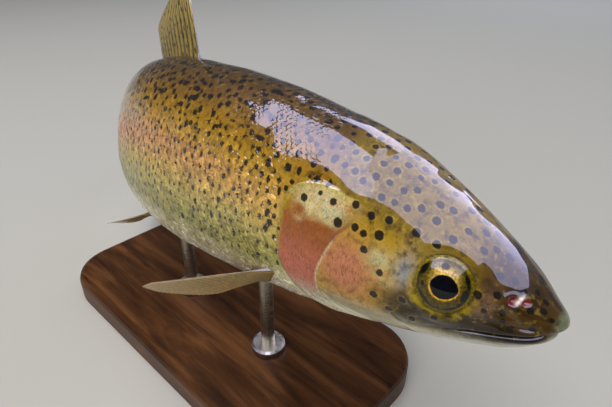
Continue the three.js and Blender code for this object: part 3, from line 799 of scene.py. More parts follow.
def wetSkinMaterial(name, forScales):
    material, tree = newMaterial(name)
    read = {key: addNode(tree, "Attribute", attribute_name=key) for key in ("spotEdge", "paint", "speckle", "mottle", "pearl", "shine", "wet")}
    where = addNode(tree, "TexCoord").outputs["Object"]
    perMm = 1 / mm

    def noise(size, detail=3.0, rough=0.6, vector=None):
        return addNode(tree, "TexNoise", {"Vector": vector or where, "Scale": perMm / size, "Detail": detail, "Roughness": rough})

    def remap(value, low, high, first, last, kind="LINEAR"):
        return addNode(tree, "MapRange", {0: value, 1: low, 2: high, 3: first, 4: last}, interpolation_type=kind).outputs[0]

    def times(a, b):
        return addNode(tree, "Math", {0: a, 1: b}, operation="MULTIPLY").outputs[0]

    def mix(weight, a, b):
        return addNode(tree, "Mix", {0: weight, 6: a, 7: b}, data_type="RGBA").outputs[2]

    broad = noise(wetSkin["mottleSize"], 5.0, 0.65).outputs["Fac"]
    fine = noise(wetSkin["grainSize"], 3.0, 0.7).outputs["Fac"]
    mottle = read["mottle"].outputs["Fac"]
    colour = mix(times(remap(broad, 0.47, 0.66, 0.0, 0.8), mottle), read["paint"].outputs["Color"], rgba(wetSkin["mottleDark"]))
    colour = mix(times(remap(fine, 0.55, 0.75, 0.0, 0.7), mottle), colour, rgba(wetSkin["mottleDark"]))
    fleck = noise(wetSkin["fleckSize"], 2.0, 0.5).outputs["Fac"]
    colour = mix(times(remap(fleck, 0.42, 0.26, 0.0, 0.2), mottle), colour, rgba(wetSkin["fleckTone"]))
    # short brown strokes, drawn down the cheek and gill cover
    long = addNode(tree, "Mapping", {"Vector": where, "Scale": (1.0, 1.0, 0.3), "Rotation": (0.0, 0.35, 0.0)}).outputs[0]
    stroke = noise(wetSkin["grainSize"], 4.0, 0.7, long).outputs["Fac"]
    colour = mix(times(remap(stroke, 0.48, 0.66, 0.0, 0.75), read["speckle"].outputs["Fac"]), colour, rgba(wetSkin["strokeTone"]))
    # pearly glints
    tint = addNode(tree, "ValToRGB", {"Fac": noise(wetSkin["pearlSize"], 3.0, 0.7).outputs["Fac"]})
    ramp = tint.color_ramp
    for stop, tone in ((0.34, "#76838f"), (0.43, "#a9b06a"), (0.5, "#e3e2c6"), (0.56, "#cfa04c"), (0.62, "#d9867a"), (0.7, "#9fc39c")):
        ramp.elements.new(stop).color = rgba(tone)
    pearlOn = times(remap(fine, 0.38, 0.6, 0.1, 1.0), read["pearl"].outputs["Fac"])
    colour = mix(times(pearlOn, 0.55), colour, tint.outputs[0])
    if forScales:
        tone = addNode(tree, "Attribute", attribute_name="tone")
        colour = addNode(tree, "HueSaturation", {"Value": tone.outputs["Fac"], "Color": colour}).outputs[0]
    ragged = 0.32 if forScales else 0.14
    push = remap(noise(0.8, 2.0).outputs["Fac"], 0.3, 0.7, -ragged, ragged)
    edge = addNode(tree, "Math", {0: read["spotEdge"].outputs["Fac"], 1: push}, operation="ADD").outputs[0]
    inSpot = remap(edge, wetSkin["spotSoft"], -wetSkin["spotSoft"], 0.0, 0.96, "SMOOTHSTEP")
    colour = mix(inSpot, colour, rgba(wetSkin["spot"]))
    clear = addNode(tree, "Math", {0: 1.0, 1: inSpot}, operation="SUBTRACT").outputs[0]
    metal = times(clear, addNode(tree, "Math", {0: read["shine"].outputs["Fac"], 1: times(pearlOn, 0.5)}, operation="ADD").outputs[0])
    rough = remap(broad, 0.3, 0.7, wetSkin["roughness"] - 0.08, wetSkin["roughness"] + 0.08)
    bump = addNode(tree, "Bump", {"Strength": 0.3, "Distance": 0.1 * mm, "Height": noise(1.1, 4.0, 0.55).outputs["Fac"]})
    shader = addNode(tree, "BsdfPrincipled", {
        "Base Color": colour, "Metallic": metal, "Roughness": rough, "Specular IOR Level": 0.06,
        "Normal": bump.outputs[0], "Coat Weight": read["wet"].outputs["Fac"], "Coat Roughness": wetSkin["coatRoughness"],
        "Coat IOR": wetSkin["coatIOR"],
    })
    addNode(tree, "OutputMaterial", {"Surface": shader.outputs[0]})
    return material


skin = buildSkin()
skin.data.materials.append(wetSkinMaterial("wet_trout_skin", False))
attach(skin, "root")
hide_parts(*fleshNodes)
print("skin mesh:", len(skin.data.polygons), "faces")


# scales, in rows that overlap towards the tail like roof tiles
scales = {
    "pitch": 2.15,         # from one scale to the next along the lateral line
    "tailPitch": 1.55,
    "columns": 60,         # round the body, every second row set half a place over
    "front": 0.97,         # reach before and behind the middle, as shares of the pitch
    "rear": 1.0,
    "halfWidth": 0.56,
    "lift": 0.07,
    "bury": -0.04,
    "dome": 0.015,
    "tilt": 0.03,          # how unevenly they lie
    "backFlatness": 0.93,  # how much thinner they are along the back
    "sides": 9,
    "patch": 0.003,
    "glints": 0.05,        # share of scales that flash pale
    "seed": 5,
}


def sampleGrid(grid, station, share):
    x = np.interp(station, rowStations, np.arange(len(rowStations)))
    y = np.mod(share, 1.0) * surfaceColumns
    i = np.minimum(x.astype(int), len(rowStations) - 2)
    j = np.minimum(y.astype(int), surfaceColumns - 1)
    u, v = x - i, y - j
    if grid.ndim == 3:
        u, v = u[..., None], v[..., None]
    return ((grid[i, j] * (1 - u) + grid[i + 1, j] * u) * (1 - v) + (grid[i, j + 1] * (1 - u) + grid[i + 1, j + 1] * u) * v)


def scaleRoots():
    dice = np.random.default_rng(scales["seed"])
    stations, shares = [], []
    station, odd = 56.0, 0
    while station < 369:
        pitch = float(np.interp(station, [230, 360], [scales["pitch"], scales["tailPitch"]]))
        share = (np.arange(scales["columns"]) + 0.5 * odd + 0.25) / scales["columns"]
        stations.append(np.full(len(share), station))
        shares.append(share)
        station += pitch / 2
        odd = 1 - odd
    station, share = np.concatenate(stations), np.concatenate(shares)
    station = station + dice.uniform(-0.08, 0.08, len(station))
    share = share + dice.uniform(-0.02, 0.02, len(share)) / scales["columns"]
    up = sampleGrid(gridUp, station, share)
    gap = sampleGrid(opercleGap, station, share)
    nape = np.interp(up, [14, 18, 26, 34], [83, 70, 69, 71])
    past = np.minimum(gap - 1.8, np.where(up > 14, station - nape, 99))  # how far behind the scales' front line
    return station[past > 0], share[past > 0], past[past > 0]


def buildScales(name, station, share, past, dice):
    sides = scales["sides"]
    turn = np.arange(sides) / sides * 2 * math.pi
    rings = [(0.0, 1), (0.58, sides), (0.97, sides), (1.0, sides)]
    x, y, z = [], [], []
    for radius, count in rings:
        a = turn if count > 1 else np.zeros(1)
        reach = np.where(np.cos(a) > 0, scales["rear"], scales["front"])
        x.append(np.cos(a) * radius * reach)
        y.append(np.sin(a) * radius * scales["halfWidth"])
        slope = (np.cos(a) * radius * reach + scales["front"]) / (scales["front"] + scales["rear"])
        top = scales["bury"] + slope * (scales["lift"] - scales["bury"]) + scales["dome"] * (1 - radius ** 2)
        z.append(top if radius < 1 else np.full(count, -0.2))
    x, y, z = np.concatenate(x), np.concatenate(y), np.concatenate(z)
    pitch = np.interp(station, [230, 360], [scales["pitch"], scales["tailPitch"]])
    around = np.interp(station, rowStations, girth)
    size = dice.uniform(0.93, 1.07, len(station))
    s = station[:, None] + x[None, :] * (pitch * size)[:, None]
    t = share[:, None] + y[None, :] * size[:, None] / scales["columns"]
    tilt = (dice.normal(0, scales["tilt"], len(station))[:, None] * y[None, :] * 3
            + dice.normal(0, scales["tilt"], len(station))[:, None] * x[None, :] * 0.8)
    height = (z[None, :] + tilt) * (pitch / scales["pitch"])[:, None]
    height = height * np.interp(station, [340, 372], [1, 0.35])[:, None]
    high = smooth(sampleGrid(gridHeight, station, share), 0.15, 0.55)
    height = height * (1 - scales["backFlatness"] * high * (station < 260))[:, None]
    height = height * np.interp(past, [0, 7], [0.45, 1])[:, None] - np.interp(past, [0, 5], [0.03, 0])[:, None]
    s = np.clip(s, 0, tailEnd)
    points = sampleGrid(skinPoints, s, t) + sampleGrid(skinNormals, s, t) * height[..., None]
    count = 1 + 3 * sides
    k = np.arange(sides)
    n = (k + 1) % sides
    fan = np.stack([np.zeros(sides, int), 1 + k, 1 + n], -1)
    bands = [np.stack([1 + b * sides + k, 1 + (b + 1) * sides + k, 1 + (b + 1) * sides + n, 1 + b * sides + n], -1) for b in (0, 1)]
    bottom = 1 + 2 * sides + k[::-1]
    cornersOne = np.concatenate([fan.ravel()] + [band.ravel() for band in bands] + [bottom])
    sizesOne = np.concatenate([np.full(sides, 3), np.full(2 * sides, 4), [sides]])
    base = np.arange(len(station))[:, None] * count
    corners = (base + cornersOne[None, :]).ravel()
    sizes = np.tile(sizesOne, len(station))
    flash = dice.random(len(station)) < scales["glints"]
    tone = dice.normal(1.0, 0.15, len(station)).clip(0.65, 1.35) * np.where(flash, 1.3, 1)
    # each scale darker at its outer ring, most at the rear edge, and darkest on its thin edge wall: painted shade along
    # the overlaps
    rim = np.concatenate([[1.06], np.full(sides, 1.05), np.where(np.cos(turn) > 0, 0.8, 0.95), np.full(sides, 0.6)])
    low, high = share.min(), share.max()
    u0 = np.interp(station, [station.min(), station.max()], [0.01, 0.99])
    v0 = np.interp(share, [low, high], [0.01, 0.99])
    uv = np.stack([u0[:, None] + x[None, :] * scales["patch"] * 0.6, v0[:, None] + y[None, :] * scales["patch"] * 0.8], -1)
    values = {
        "paint": sampleGrid(gridPaint, s, t).reshape(-1, 3),
        "spotEdge": sampleGrid(gridSpots, s, t).ravel(),
        "speckle": sampleGrid(gridSpeckle, s, t).ravel(),
        "mottle": sampleGrid(gridMottle, s, t).ravel(),
        "pearl": sampleGrid(gridPearl, s, t).ravel(),
        "shine": (sampleGrid(gridShine, s, t) * (dice.uniform(0.7, 1.3, len(station)) + flash)[:, None]).ravel().clip(0, 0.9),
        "wet": sampleGrid(gridWet, s, t).ravel(),
        "tone": (tone[:, None] * rim[None, :]).ravel(),
    }
    onTop = np.tile(np.arange(len(sizesOne)) < 2 * sides, len(station))  # the thin edge wall stays flat
    return makeMesh(name, points.reshape(-1, 3), sizes, corners, values, uv.reshape(-1, 2), onTop)


scaleMaterial = wetSkinMaterial("wet_trout_scales", True)
rootStation, rootShare, rootPast = scaleRoots()
dice = np.random.default_rng(scales["seed"] + 1)
zones = {"shoulder": (0, 122), "front": (122, 168), "middle": (168, 214), "rear": (214, 268), "stalk": (268, 400)}
for sideName, low, high in (("right", 0.0, 0.5), ("left", 0.5, 1.01)):
    for zoneName, (start, end) in zones.items():
        chosen = (rootShare >= low) & (rootShare < high) & (rootStation >= start) & (rootStation < end)
        piece = buildScales(f"scales_{sideName}_{zoneName}", rootStation[chosen], rootShare[chosen], rootPast[chosen], dice)
        piece.data.materials.append(scaleMaterial)
        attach(piece, "root")
        print(piece.name, chosen.sum(), "scales")


# fins: thin webs over raised rays that fork towards their tips
def finGrid(fin):
    columns, rows = fin["rays"] * 8 + 1, 40
    u = np.linspace(0, 1, columns)[None, :] * np.ones((rows, 1))
    v = np.linspace(0, 1, rows)[:, None] * np.ones((1, columns))
    rootStationOf, rootRight, rootUp = fin["root"](u)
    back, out, rise = fin["aim"](u)
    size = np.sqrt(back ** 2 + out ** 2 + rise ** 2)
    rayTurn = u * (fin["rays"] - 1)
    tipNotch = 1 - 0.02 * (0.5 - 0.5 * np.cos(rayTurn * 4 * math.pi)) * smooth(v, 0.8, 1)
    length = (v * (fin["reach"](u) * tipNotch + fin["sunk"]) - fin["sunk"]) / size
    middlePoints = place(rootStationOf + back * length, rootRight + out * length, rootUp + rise * length)
    du, dv = np.gradient(middlePoints, axis=1), np.gradient(middlePoints, axis=0)
    normal = np.cross(du, dv)
    normal /= np.maximum(np.linalg.norm(normal, axis=-1, keepdims=True), 1e-9)
    wave = fin.get("wave", 0.8) * np.sin(u * 5 + fin.get("phase", 0)) * v ** 2
    middlePoints = middlePoints + normal * wave[..., None]
    single = 0.5 + 0.5 * np.cos(rayTurn * 2 * math.pi)
    forked = 0.5 + 0.5 * np.cos(rayTurn * 4 * math.pi)
    fork = smooth(v, 0.45, 0.7)
    ray = (single ** 1.6) * (1 - fork) + (forked ** 1.3) * fork
    joints = 1 - 0.12 * (np.sin(v * fin["joints"] * 2 * math.pi) > 0.7) * smooth(v, 0.2, 0.4)
    web = fin["web"] * (1 - 0.55 * v)
    half = web + ray * fin["rayHeight"] * (1 - 0.7 * v) * joints
    fleshy = fin["rootHalf"] * (1 - smooth(v, 0.0, fin.get("fleshy", 0.3)))
    half = np.maximum(half, fleshy * np.ones_like(half) * (1 - 0.35 * (1 - ray)))
    rim = smooth(u, 0, 0.015) * smooth(1 - u, 0, 0.015)
    half = half * (0.35 + 0.65 * rim)
    half[-1] *= 0.4
    return u, v, middlePoints, normal, half, ray


def buildFin(node, fin, paintFin):
    u, v, middlePoints, normal, half, ray = finGrid(fin)
    rows, columns = u.shape
    front = middlePoints + normal * half[..., None]
    rear = middlePoints - normal * half[..., None]
    sheet = rows * columns
    points = np.vstack([front.reshape(-1, 3), rear.reshape(-1, 3)])
    cell = np.arange(rows - 1)[:, None] * columns + np.arange(columns - 1)[None, :]
    a = cell.ravel()
    faceFront = np.stack([a, a + 1, a + columns + 1, a + columns], -1)
    faceRear = np.stack([sheet + a, sheet + a + columns, sheet + a + columns + 1, sheet + a + 1], -1)
    first = np.arange(rows - 1) * columns
    last = first + columns - 1
    edgeFirst = np.stack([first, first + columns, sheet + first + columns, sheet + first], -1)
    edgeLast = np.stack([last, sheet + last, sheet + last + columns, last + columns], -1)
    rootRow = np.arange(columns - 1)
    tipRow = (rows - 1) * columns + rootRow
    edgeRoot = np.stack([rootRow, sheet + rootRow, sheet + rootRow + 1, rootRow + 1], -1)
    edgeTip = np.stack([tipRow, tipRow + 1, sheet + tipRow + 1, sheet + tipRow], -1)
    quads = np.vstack([faceFront, faceRear, edgeFirst, edgeLast, edgeRoot, edgeTip])
    paint, spot = paintFin(u, v, ray)
    twice = lambda grid: np.concatenate([grid.reshape(-1, *grid.shape[2:])] * 2)
    values = {"paint": twice(paint), "spotEdge": twice(spot), "ray": twice(ray)}
    piece = makeMesh(f"{node}_web", points, np.full(len(quads), 4), quads.ravel(), values)
    piece.data.materials.append(finMaterial)
    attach(piece, "root")
    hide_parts(node)
    return piece


# Fin web and ray: a wet, thin, amber skin that lets some light through.
finLook = {"roughness": 0.38, "spot": "#1a140c", "through": 0.25}


def finWebMaterial():
    material, tree = newMaterial("wet_fin_web")
    paint = addNode(tree, "Attribute", attribute_name="paint")
    spot = addNode(tree, "Attribute", attribute_name="spotEdge")
    ray = addNode(tree, "Attribute", attribute_name="ray")
    where = addNode(tree, "TexCoord")
    noise = addNode(tree, "TexNoise", {"Vector": where.outputs["Object"], "Scale": 1 / mm / 1.4, "Detail": 4.0})
    push = addNode(tree, "MapRange", {0: noise.outputs["Fac"], 1: 0.3, 2: 0.7, 3: -0.35, 4: 0.35})
    shade = addNode(tree, "MapRange", {0: noise.outputs["Fac"], 1: 0.35, 2: 0.7, 3: 1.12, 4: 0.78})
    webTone = addNode(tree, "MapRange", {0: ray.outputs["Fac"], 1: 0.1, 2: 0.8, 3: 1.35, 4: 0.4})
    value = addNode(tree, "Math", {0: shade.outputs[0], 1: webTone.outputs[0]}, operation="MULTIPLY")
    toned = addNode(tree, "HueSaturation", {"Value": value.outputs[0], "Color": paint.outputs["Color"]})
    edge = addNode(tree, "Math", {0: spot.outputs["Fac"], 1: push.outputs[0]}, operation="ADD")
    inSpot = addNode(tree, "MapRange", {0: edge.outputs[0], 1: 0.3, 2: -0.3, 3: 0.0, 4: 0.9})
    spotted = addNode(tree, "Mix", {0: inSpot.outputs[0], 6: toned.outputs[0], 7: rgba(finLook["spot"])}, data_type="RGBA")
    bump = addNode(tree, "Bump", {"Strength": 0.3, "Distance": 0.1 * mm, "Height": noise.outputs["Fac"]})
    shader = addNode(tree, "BsdfPrincipled", {
        "Base Color": spotted.outputs[2], "Roughness": finLook["roughness"], "Normal": bump.outputs[0],
        "Specular IOR Level": 0.2, "Coat Weight": 0.7, "Coat Roughness": 0.08, "Subsurface Weight": finLook["through"], "Subsurface Scale": 0.002,
    })
    addNode(tree, "OutputMaterial", {"Surface": shader.outputs[0]})
    return material


finMaterial = finWebMaterial()


def finRows(u, v, reach, gapLong, gapAcross, radius, seed, keep=0.8):
    # spots in rough rows between the rays
    dice = random.Random(seed)
    out = np.full(u.shape, 4.0)
    length = float(np.max(reach(np.linspace(0, 1, 20))))
    for row in range(int(length / gapLong)):
        for column in range(int(1 / gapAcross) + 1):
            if dice.random() > keep:
                continue
            cu = (column + 0.5 * (row % 2) + dice.uniform(-0.2, 0.2)) * gapAcross
            cv = (row + 0.6 + dice.uniform(-0.25, 0.25)) * gapLong / length
            size = radius * dice.uniform(0.7, 1.2)
            across = 44.0 if gapAcross > 0.09 else 60.0
            out = np.minimum(out, np.hypot((u - cu) * across, (v - cv) * length * 0.8) - size)
    return out


def plainPaint(base, tip, edge):
    def paintFin(u, v, ray):
        paint = np.zeros(u.shape + (3,)) + linearColour(base)
        paint = blendTo(paint, tip, smooth(v, 0.3, 0.95))
        paint = blendTo(paint, edge, np.maximum(bell(u, 0, 0.05), 0) * smooth(v, 0.2, 0.5) * 0.8)
        return paint, np.full(u.shape, 4.0)
    return paintFin


def medianFin(first, last, onBack, leanFirst, leanLast, reach, rays, **rest):
    ridge, way = (backHeight, 1) if onBack else (bellyHeight, -1)

    def root(u):
        station = first + (last - first) * u
        return station, np.zeros_like(u), ridge(station)

    def aim(u):
        lean = np.radians(leanFirst + (leanLast - leanFirst) * u)
        return np.cos(lean), np.zeros_like(u), np.sin(lean) * way

    return {"root": root, "aim": aim, "reach": curveThrough(reach), "rays": rays, "sunk": 3.5, **rest}


def pairedFin(side, first, last, angles, aims, reach, rays, **rest):
    def root(u):
        station = first + (last - first) * u
        right, up = sectionPoint(station, -np.radians(angles[0] + (angles[1] - angles[0]) * u))
        return station, right * side, up

    def aim(u):
        back, out, rise = (a + (b - a) * u for a, b in zip(*aims))
        return back, out * side, rise

    return {"root": root, "aim": aim, "reach": curveThrough(reach), "rays": rays, "sunk": 3.5, **rest}


def tailFin():
    station = trout["standardLength"]
    centre = (float(backHeight(station)) + float(bellyHeight(station))) / 2

    def root(u):
        return np.full(u.shape, station - 1), np.zeros_like(u), centre + 16.5 * (1 - 2 * u)

    def aim(u):
        turn = np.radians(31 * (1 - 2 * u))
        return np.cos(turn), np.zeros_like(u), np.sin(turn)

    reach = curveThrough({0: 46, 0.08: 59, 0.16: 60, 0.5: 43, 0.84: 60, 0.92: 59, 1: 46})
    return {"root": root, "aim": aim, "reach": reach, "rays": 19, "sunk": 5.0, "rootHalf": 2.4, "web": 0.3,
            "rayHeight": 0.45, "joints": 26, "wave": 1.2, "fleshy": 0.34}


def dorsalPaint(u, v, ray):
    paint = np.zeros(u.shape + (3,)) + linearColour("#75652a")
    paint = blendTo(paint, "#9a8a4e", smooth(v, 0.3, 0.9))
    paint = blendTo(paint, "#d8cdb0", bell(u, 0.02, 0.06) * smooth(v, 0.75, 0.95))
    return paint, finRows(u, v, dorsalReach, 4.6, 0.085, 0.95, 21)


def tailPaint(u, v, ray):
    paint = np.zeros(u.shape + (3,)) + linearColour("#84722f")
    paint = blendTo(paint, "#9c8c52", smooth(v, 0.3, 0.9))
    paint = blendTo(paint, "#5b4a1e", bell(u, 0, 0.05) + bell(u, 1, 0.05))
    return paint, finRows(u, v, tailReachCurve, 4.4, 0.052, 0.9, 22, 0.85)


def adiposePaint(u, v, ray):
    paint = np.zeros(u.shape + (3,)) + linearColour("#6d6024")
    return paint, np.minimum(finRows(u, v, adiposeReach, 4.5, 0.34, 1.0, 23, 0.7), 3.2 - 6 * smooth(v, 0.8, 1.0))


dorsalReach = curveThrough({0: 26, 0.09: 40, 0.2: 43, 0.55: 34, 1: 25})
adiposeReach = curveThrough({0: 14, 0.4: 16.5, 0.8: 13, 1: 8})
tailReachCurve = curveThrough({0: 46, 0.5: 60, 1: 46})
buildFin("dorsal_fin", medianFin(168, 214, True, 62, 40, {0: 26, 0.09: 40, 0.2: 43, 0.55: 34, 1: 25}, 12,
                                 rootHalf=1.3, web=0.26, rayHeight=0.34, joints=18, wave=1.0), dorsalPaint)
buildFin("adipose_fin", medianFin(278, 289, True, 40, 24, {0: 14, 0.4: 16.5, 0.8: 13, 1: 8}, 4,
                                  rootHalf=1.4, web=0.55, rayHeight=0.05, joints=4, wave=0.2, fleshy=0.9), adiposePaint)
buildFin("anal_fin", medianFin(254, 288, False, 58, 40, {0: 22, 0.12: 36, 0.22: 38, 0.6: 28, 1: 18}, 11,
                               rootHalf=1.3, web=0.26, rayHeight=0.34, joints=16, phase=1.0), plainPaint("#8d783c", "#a5915a", "#ece6d8"))
buildFin("tail_fin", tailFin(), tailPaint)
for side, word in ((1, "right"), (-1, "left")):
    buildFin(f"pectoral_fin_{word}", pairedFin(
        side, 87.5, 94, (38, 58), ((0.82, 0.36, -0.42), (0.76, 0.10, -0.56)),
        {0: 50, 0.15: 57, 0.35: 55, 0.7: 40, 1: 24}, 13, rootHalf=1.5, web=0.25, rayHeight=0.32, joints=22,
    ), plainPaint("#8c743c", "#a28d58", "#cdbf98"))
    buildFin(f"pelvic_fin_{word}", pairedFin(
        side, 188, 196, (62, 76), ((0.80, 0.34, -0.42), (0.80, 0.05, -0.40)),
        {0: 37, 0.2: 42, 0.45: 40, 0.75: 32, 1: 21}, 10, rootHalf=1.3, web=0.25, rayHeight=0.3, joints=18,
    ), plainPaint("#98803f", "#ab965c", "#efe9dc"))
print("fins made")


# eyes: a wet cornea over a gold-rimmed pupil and a mottled iris
eyeTones = {
    "pupil": "#03040a",
    "ring": "#cfa850",
    "ringLow": "#e2a516",
    "iris": "#54470a",
    "irisInner": "#b59640",
    "patch": "#0e0c08",
    "outer": "#1f1a06",
    "white": "#6e6208",
}
# dark patches round the iris: angle up from the front, distance out, half length and half width in mm
eyePatches = [
    (1.75, 5.3, 1.2, 0.9), (2.75, 6.4, 1.9, 0.9), (-0.1, 6.0, 1.8, 0.8), (4.1, 6.3, 2.6, 0.55), (0.6, 6.4, 1.4, 0.5),
    (5.3, 6.6, 1.5, 0.5), (3.4, 5.2, 0.8, 0.5),
]


def buildEye(side, word):
    rings, sectors = 90, 144
    radii = eye["radius"] * np.sin(np.linspace(0, math.pi / 2, rings))
    turn = np.linspace(0, 2 * math.pi, sectors, endpoint=False)
    r, a = np.meshgrid(radii, turn, indexing="ij")
    forward = np.array([-1.0, 0, 0]) - np.dot(np.array([-1.0, 0, 0]), eyeOut) * eyeOut
    forward /= np.linalg.norm(forward)
    upward = np.cross(forward, eyeOut)
    upward = upward if upward[2] > 0 else -upward
    high = eyeSurface(r)
    flat = (np.cos(a) * r)[..., None] * forward + (np.sin(a) * r)[..., None] * upward
    body = eyeCentre + flat + high[..., None] * eyeOut
    points = place(body[..., 0], body[..., 1] * side, body[..., 2]).reshape(-1, 3)
    rearDepth = -3.0
    rear = eyeCentre + flat[-1] + rearDepth * eyeOut
    rearPoints = place(rear[..., 0], rear[..., 1] * side, rear[..., 2])
    points = np.vstack([points, rearPoints])
    grid = np.arange((rings + 1) * sectors).reshape(rings + 1, sectors)
    beside = np.roll(grid, -1, 1)
    quads = np.stack([grid[1:-1], grid[2:], beside[2:], beside[1:-1]], -1).reshape(-1, 4)
    fan = np.stack([np.zeros(sectors, int), grid[1], beside[1]], -1)
    backCap = grid[-1]
    if side < 0:
        quads, fan, backCap = quads[:, ::-1], fan[:, ::-1], backCap[::-1]
    corners = np.concatenate([quads.ravel(), fan.ravel(), backCap[::-1]])
    sizes = np.concatenate([np.full(len(quads), 4), np.full(len(fan), 3), [sectors]])
    # the pupil is drawn out to a blunt point in front
    pupil = eye["pupil"] * (1 + 0.09 * np.cos(a) + 0.10 * np.maximum(np.cos(a), 0) ** 6 - 0.07 * np.abs(np.sin(a)))
    paint = np.zeros(r.shape + (3,)) + linearColour(eyeTones["iris"])
    fibre = np.random.default_rng(40).uniform(-1, 1, 90)
    streak = np.interp(np.mod(a, 2 * math.pi), np.linspace(0, 2 * math.pi, 91), np.append(fibre, fibre[0]))
    upper = smooth(np.sin(a - 0.2), -0.3, 0.8)
    paint = blendTo(paint, eyeTones["irisInner"], (1 - smooth(r, pupil + 0.3, pupil + 1.0 + 1.4 * upper)) * (0.2 + 0.6 * upper))
    paint = blendTo(paint, eyeTones["outer"], 0.4 * smooth(streak, 0.0, 1) + 0.85 * bell(r, eye["iris"] - 0.1, 0.5))
    paint = blendTo(paint, eyeTones["white"], smooth(r, eye["iris"] + 0.1, eye["iris"] + 0.5))
    for angle, radius, long, wide in eyePatches:
        across = radius * (np.mod(a - angle + math.pi, 2 * math.pi) - math.pi)
        paint = blendTo(paint, eyeTones["patch"], 0.95 * smooth(1.2 - np.hypot(across / long, (r - radius) / wide), 0, 0.5))
    low = smooth(-np.sin(a), -0.3, 0.7)
    ring = bell(r - pupil, 0.16, 0.22) * (0.35 + 0.65 * low)
    paint = blendTo(paint, eyeTones["ring"], ring)
    paint = blendTo(paint, eyeTones["ringLow"], ring * low)
    inPupil = smooth(pupil - r, -0.06, 0.06)
    paint = blendTo(paint, eyeTones["pupil"], inPupil)
    spread = lambda grid: np.concatenate([grid.reshape(-1, *grid.shape[2:]), grid[-1]])
    metal = spread(0.5 * (1 - inPupil) * (1 - smooth(r, eye["iris"], eye["iris"] + 0.8)))
    piece = makeMesh(f"eyeball_{word}", points, sizes, corners, {"paint": spread(paint), "shine": metal})
    piece.data.materials.append(eyeMaterial)
    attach(piece, "root")
    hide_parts(f"eye_{word}")
    return piece


# A living eye: foil-like iris under a clear, wet cornea that gives one sharp highlight.
def corneaMaterial():
    material, tree = newMaterial("wet_eye")
    paint = addNode(tree, "Attribute", attribute_name="paint")
    shine = addNode(tree, "Attribute", attribute_name="shine")
    where = addNode(tree, "TexCoord")
    noise = addNode(tree, "TexNoise", {"Vector": where.outputs["Object"], "Scale": 1 / mm / 0.7, "Detail": 3.0})
    value = addNode(tree, "MapRange", {0: noise.outputs["Fac"], 1: 0.35, 2: 0.65, 3: 0.5, 4: 1.5})
    toned = addNode(tree, "HueSaturation", {"Value": value.outputs[0], "Color": paint.outputs["Color"]})
    shader = addNode(tree, "BsdfPrincipled", {
        "Base Color": toned.outputs[0], "Metallic": shine.outputs["Fac"], "Roughness": 0.35,
        "Specular IOR Level": 0.0, "Coat Weight": 1.0, "Coat Roughness": 0.01, "Coat IOR": 1.38,
    })
    addNode(tree, "OutputMaterial", {"Surface": shader.outputs[0]})
    return material


eyeMaterial = corneaMaterial()
for side, word in ((1, "right"), (-1, "left")):
    buildEye(side, word)
print("eyes made")


# Oiled walnut: brown heartwood with long dark growth streaks and open pores along the grain.
def walnutMaterial():
    material, tree = newMaterial("oiled_walnut")
    where = addNode(tree, "TexCoord")
    stretch = addNode(tree, "Mapping", {"Vector": where.outputs["Object"], "Scale": (0.12, 1.0, 1.0)})
    bands = addNode(tree, "TexNoise", {"Vector": stretch.outputs[0], "Scale": 1 / mm / 9, "Detail": 6.0, "Roughness": 0.6, "Distortion": 0.6})
    tones = addNode(tree, "ValToRGB", {"Fac": bands.outputs["Fac"]})
    ramp = tones.color_ramp
    ramp.elements[0].position, ramp.elements[0].color = 0.32, rgba("#2c1a10")
    ramp.elements[1].position, ramp.elements[1].color = 0.68, rgba("#7a5030")
    middleTone = ramp.elements.new(0.5)
    middleTone.color = rgba("#50321d")
    poreStretch = addNode(tree, "Mapping", {"Vector": where.outputs["Object"], "Scale": (0.06, 1.0, 1.0)})
    pores = addNode(tree, "TexNoise", {"Vector": poreStretch.outputs[0], "Scale": 1 / mm / 0.8, "Detail": 2.0})
    poreMask = addNode(tree, "MapRange", {0: pores.outputs["Fac"], 1: 0.62, 2: 0.72, 3: 0.0, 4: 0.6})
    colour = addNode(tree, "Mix", {0: poreMask.outputs[0], 6: tones.outputs[0], 7: rgba("#1c100a")}, data_type="RGBA")
    rough = addNode(tree, "MapRange", {0: bands.outputs["Fac"], 1: 0.3, 2: 0.7, 3: 0.36, 4: 0.5})
    bump = addNode(tree, "Bump", {"Strength": 0.4, "Distance": 0.08 * mm, "Height": poreMask.outputs[0], }, invert=True)
    shader = addNode(tree, "BsdfPrincipled", {"Base Color": colour.outputs[2], "Roughness": rough.outputs[0], "Normal": bump.outputs[0],
                                              "Specular IOR Level": 0.25})
    addNode(tree, "OutputMaterial", {"Surface": shader.outputs[0]})
    return material


# Brushed stainless rod: fine rings round the turned bar, which draw the light out along it.
def steelMaterial():
    material, tree = newMaterial("brushed_stainless")
    where = addNode(tree, "TexCoord")
    stretch = addNode(tree, "Mapping", {"Vector": where.outputs["Object"], "Scale": (0.08, 0.08, 1.0)})
    rings = addNode(tree, "TexNoise", {"Vector": stretch.outputs[0], "Scale": 1 / mm / 0.35, "Detail": 3.0})
    rough = addNode(tree, "MapRange", {0: rings.outputs["Fac"], 1: 0.3, 2: 0.7, 3: 0.24, 4: 0.42})
    tone = addNode(tree, "MapRange", {0: rings.outputs["Fac"], 1: 0.3, 2: 0.7, 3: 0.85, 4: 1.08})
    colour = addNode(tree, "HueSaturation", {"Value": tone.outputs[0], "Color": rgba("#a39e8c")})
    bump = addNode(tree, "Bump", {"Strength": 0.25, "Distance": 0.03 * mm, "Height": rings.outputs["Fac"]})
    shader = addNode(tree, "BsdfPrincipled", {"Base Color": colour.outputs[0], "Metallic": 1.0, "Roughness": rough.outputs[0],
                                              "Normal": bump.outputs[0]})
    addNode(tree, "OutputMaterial", {"Surface": shader.outputs[0]})
    return material


def dressNode(node, material):
    piece = frame["nodes"][node]
    piece.data.materials.clear()
    piece.data.materials.append(material)


dressNode("stand_base", walnutMaterial())
steel = steelMaterial()
for node in ("stand_rod_front", "stand_rod_rear"):
    dressNode(node, steel)


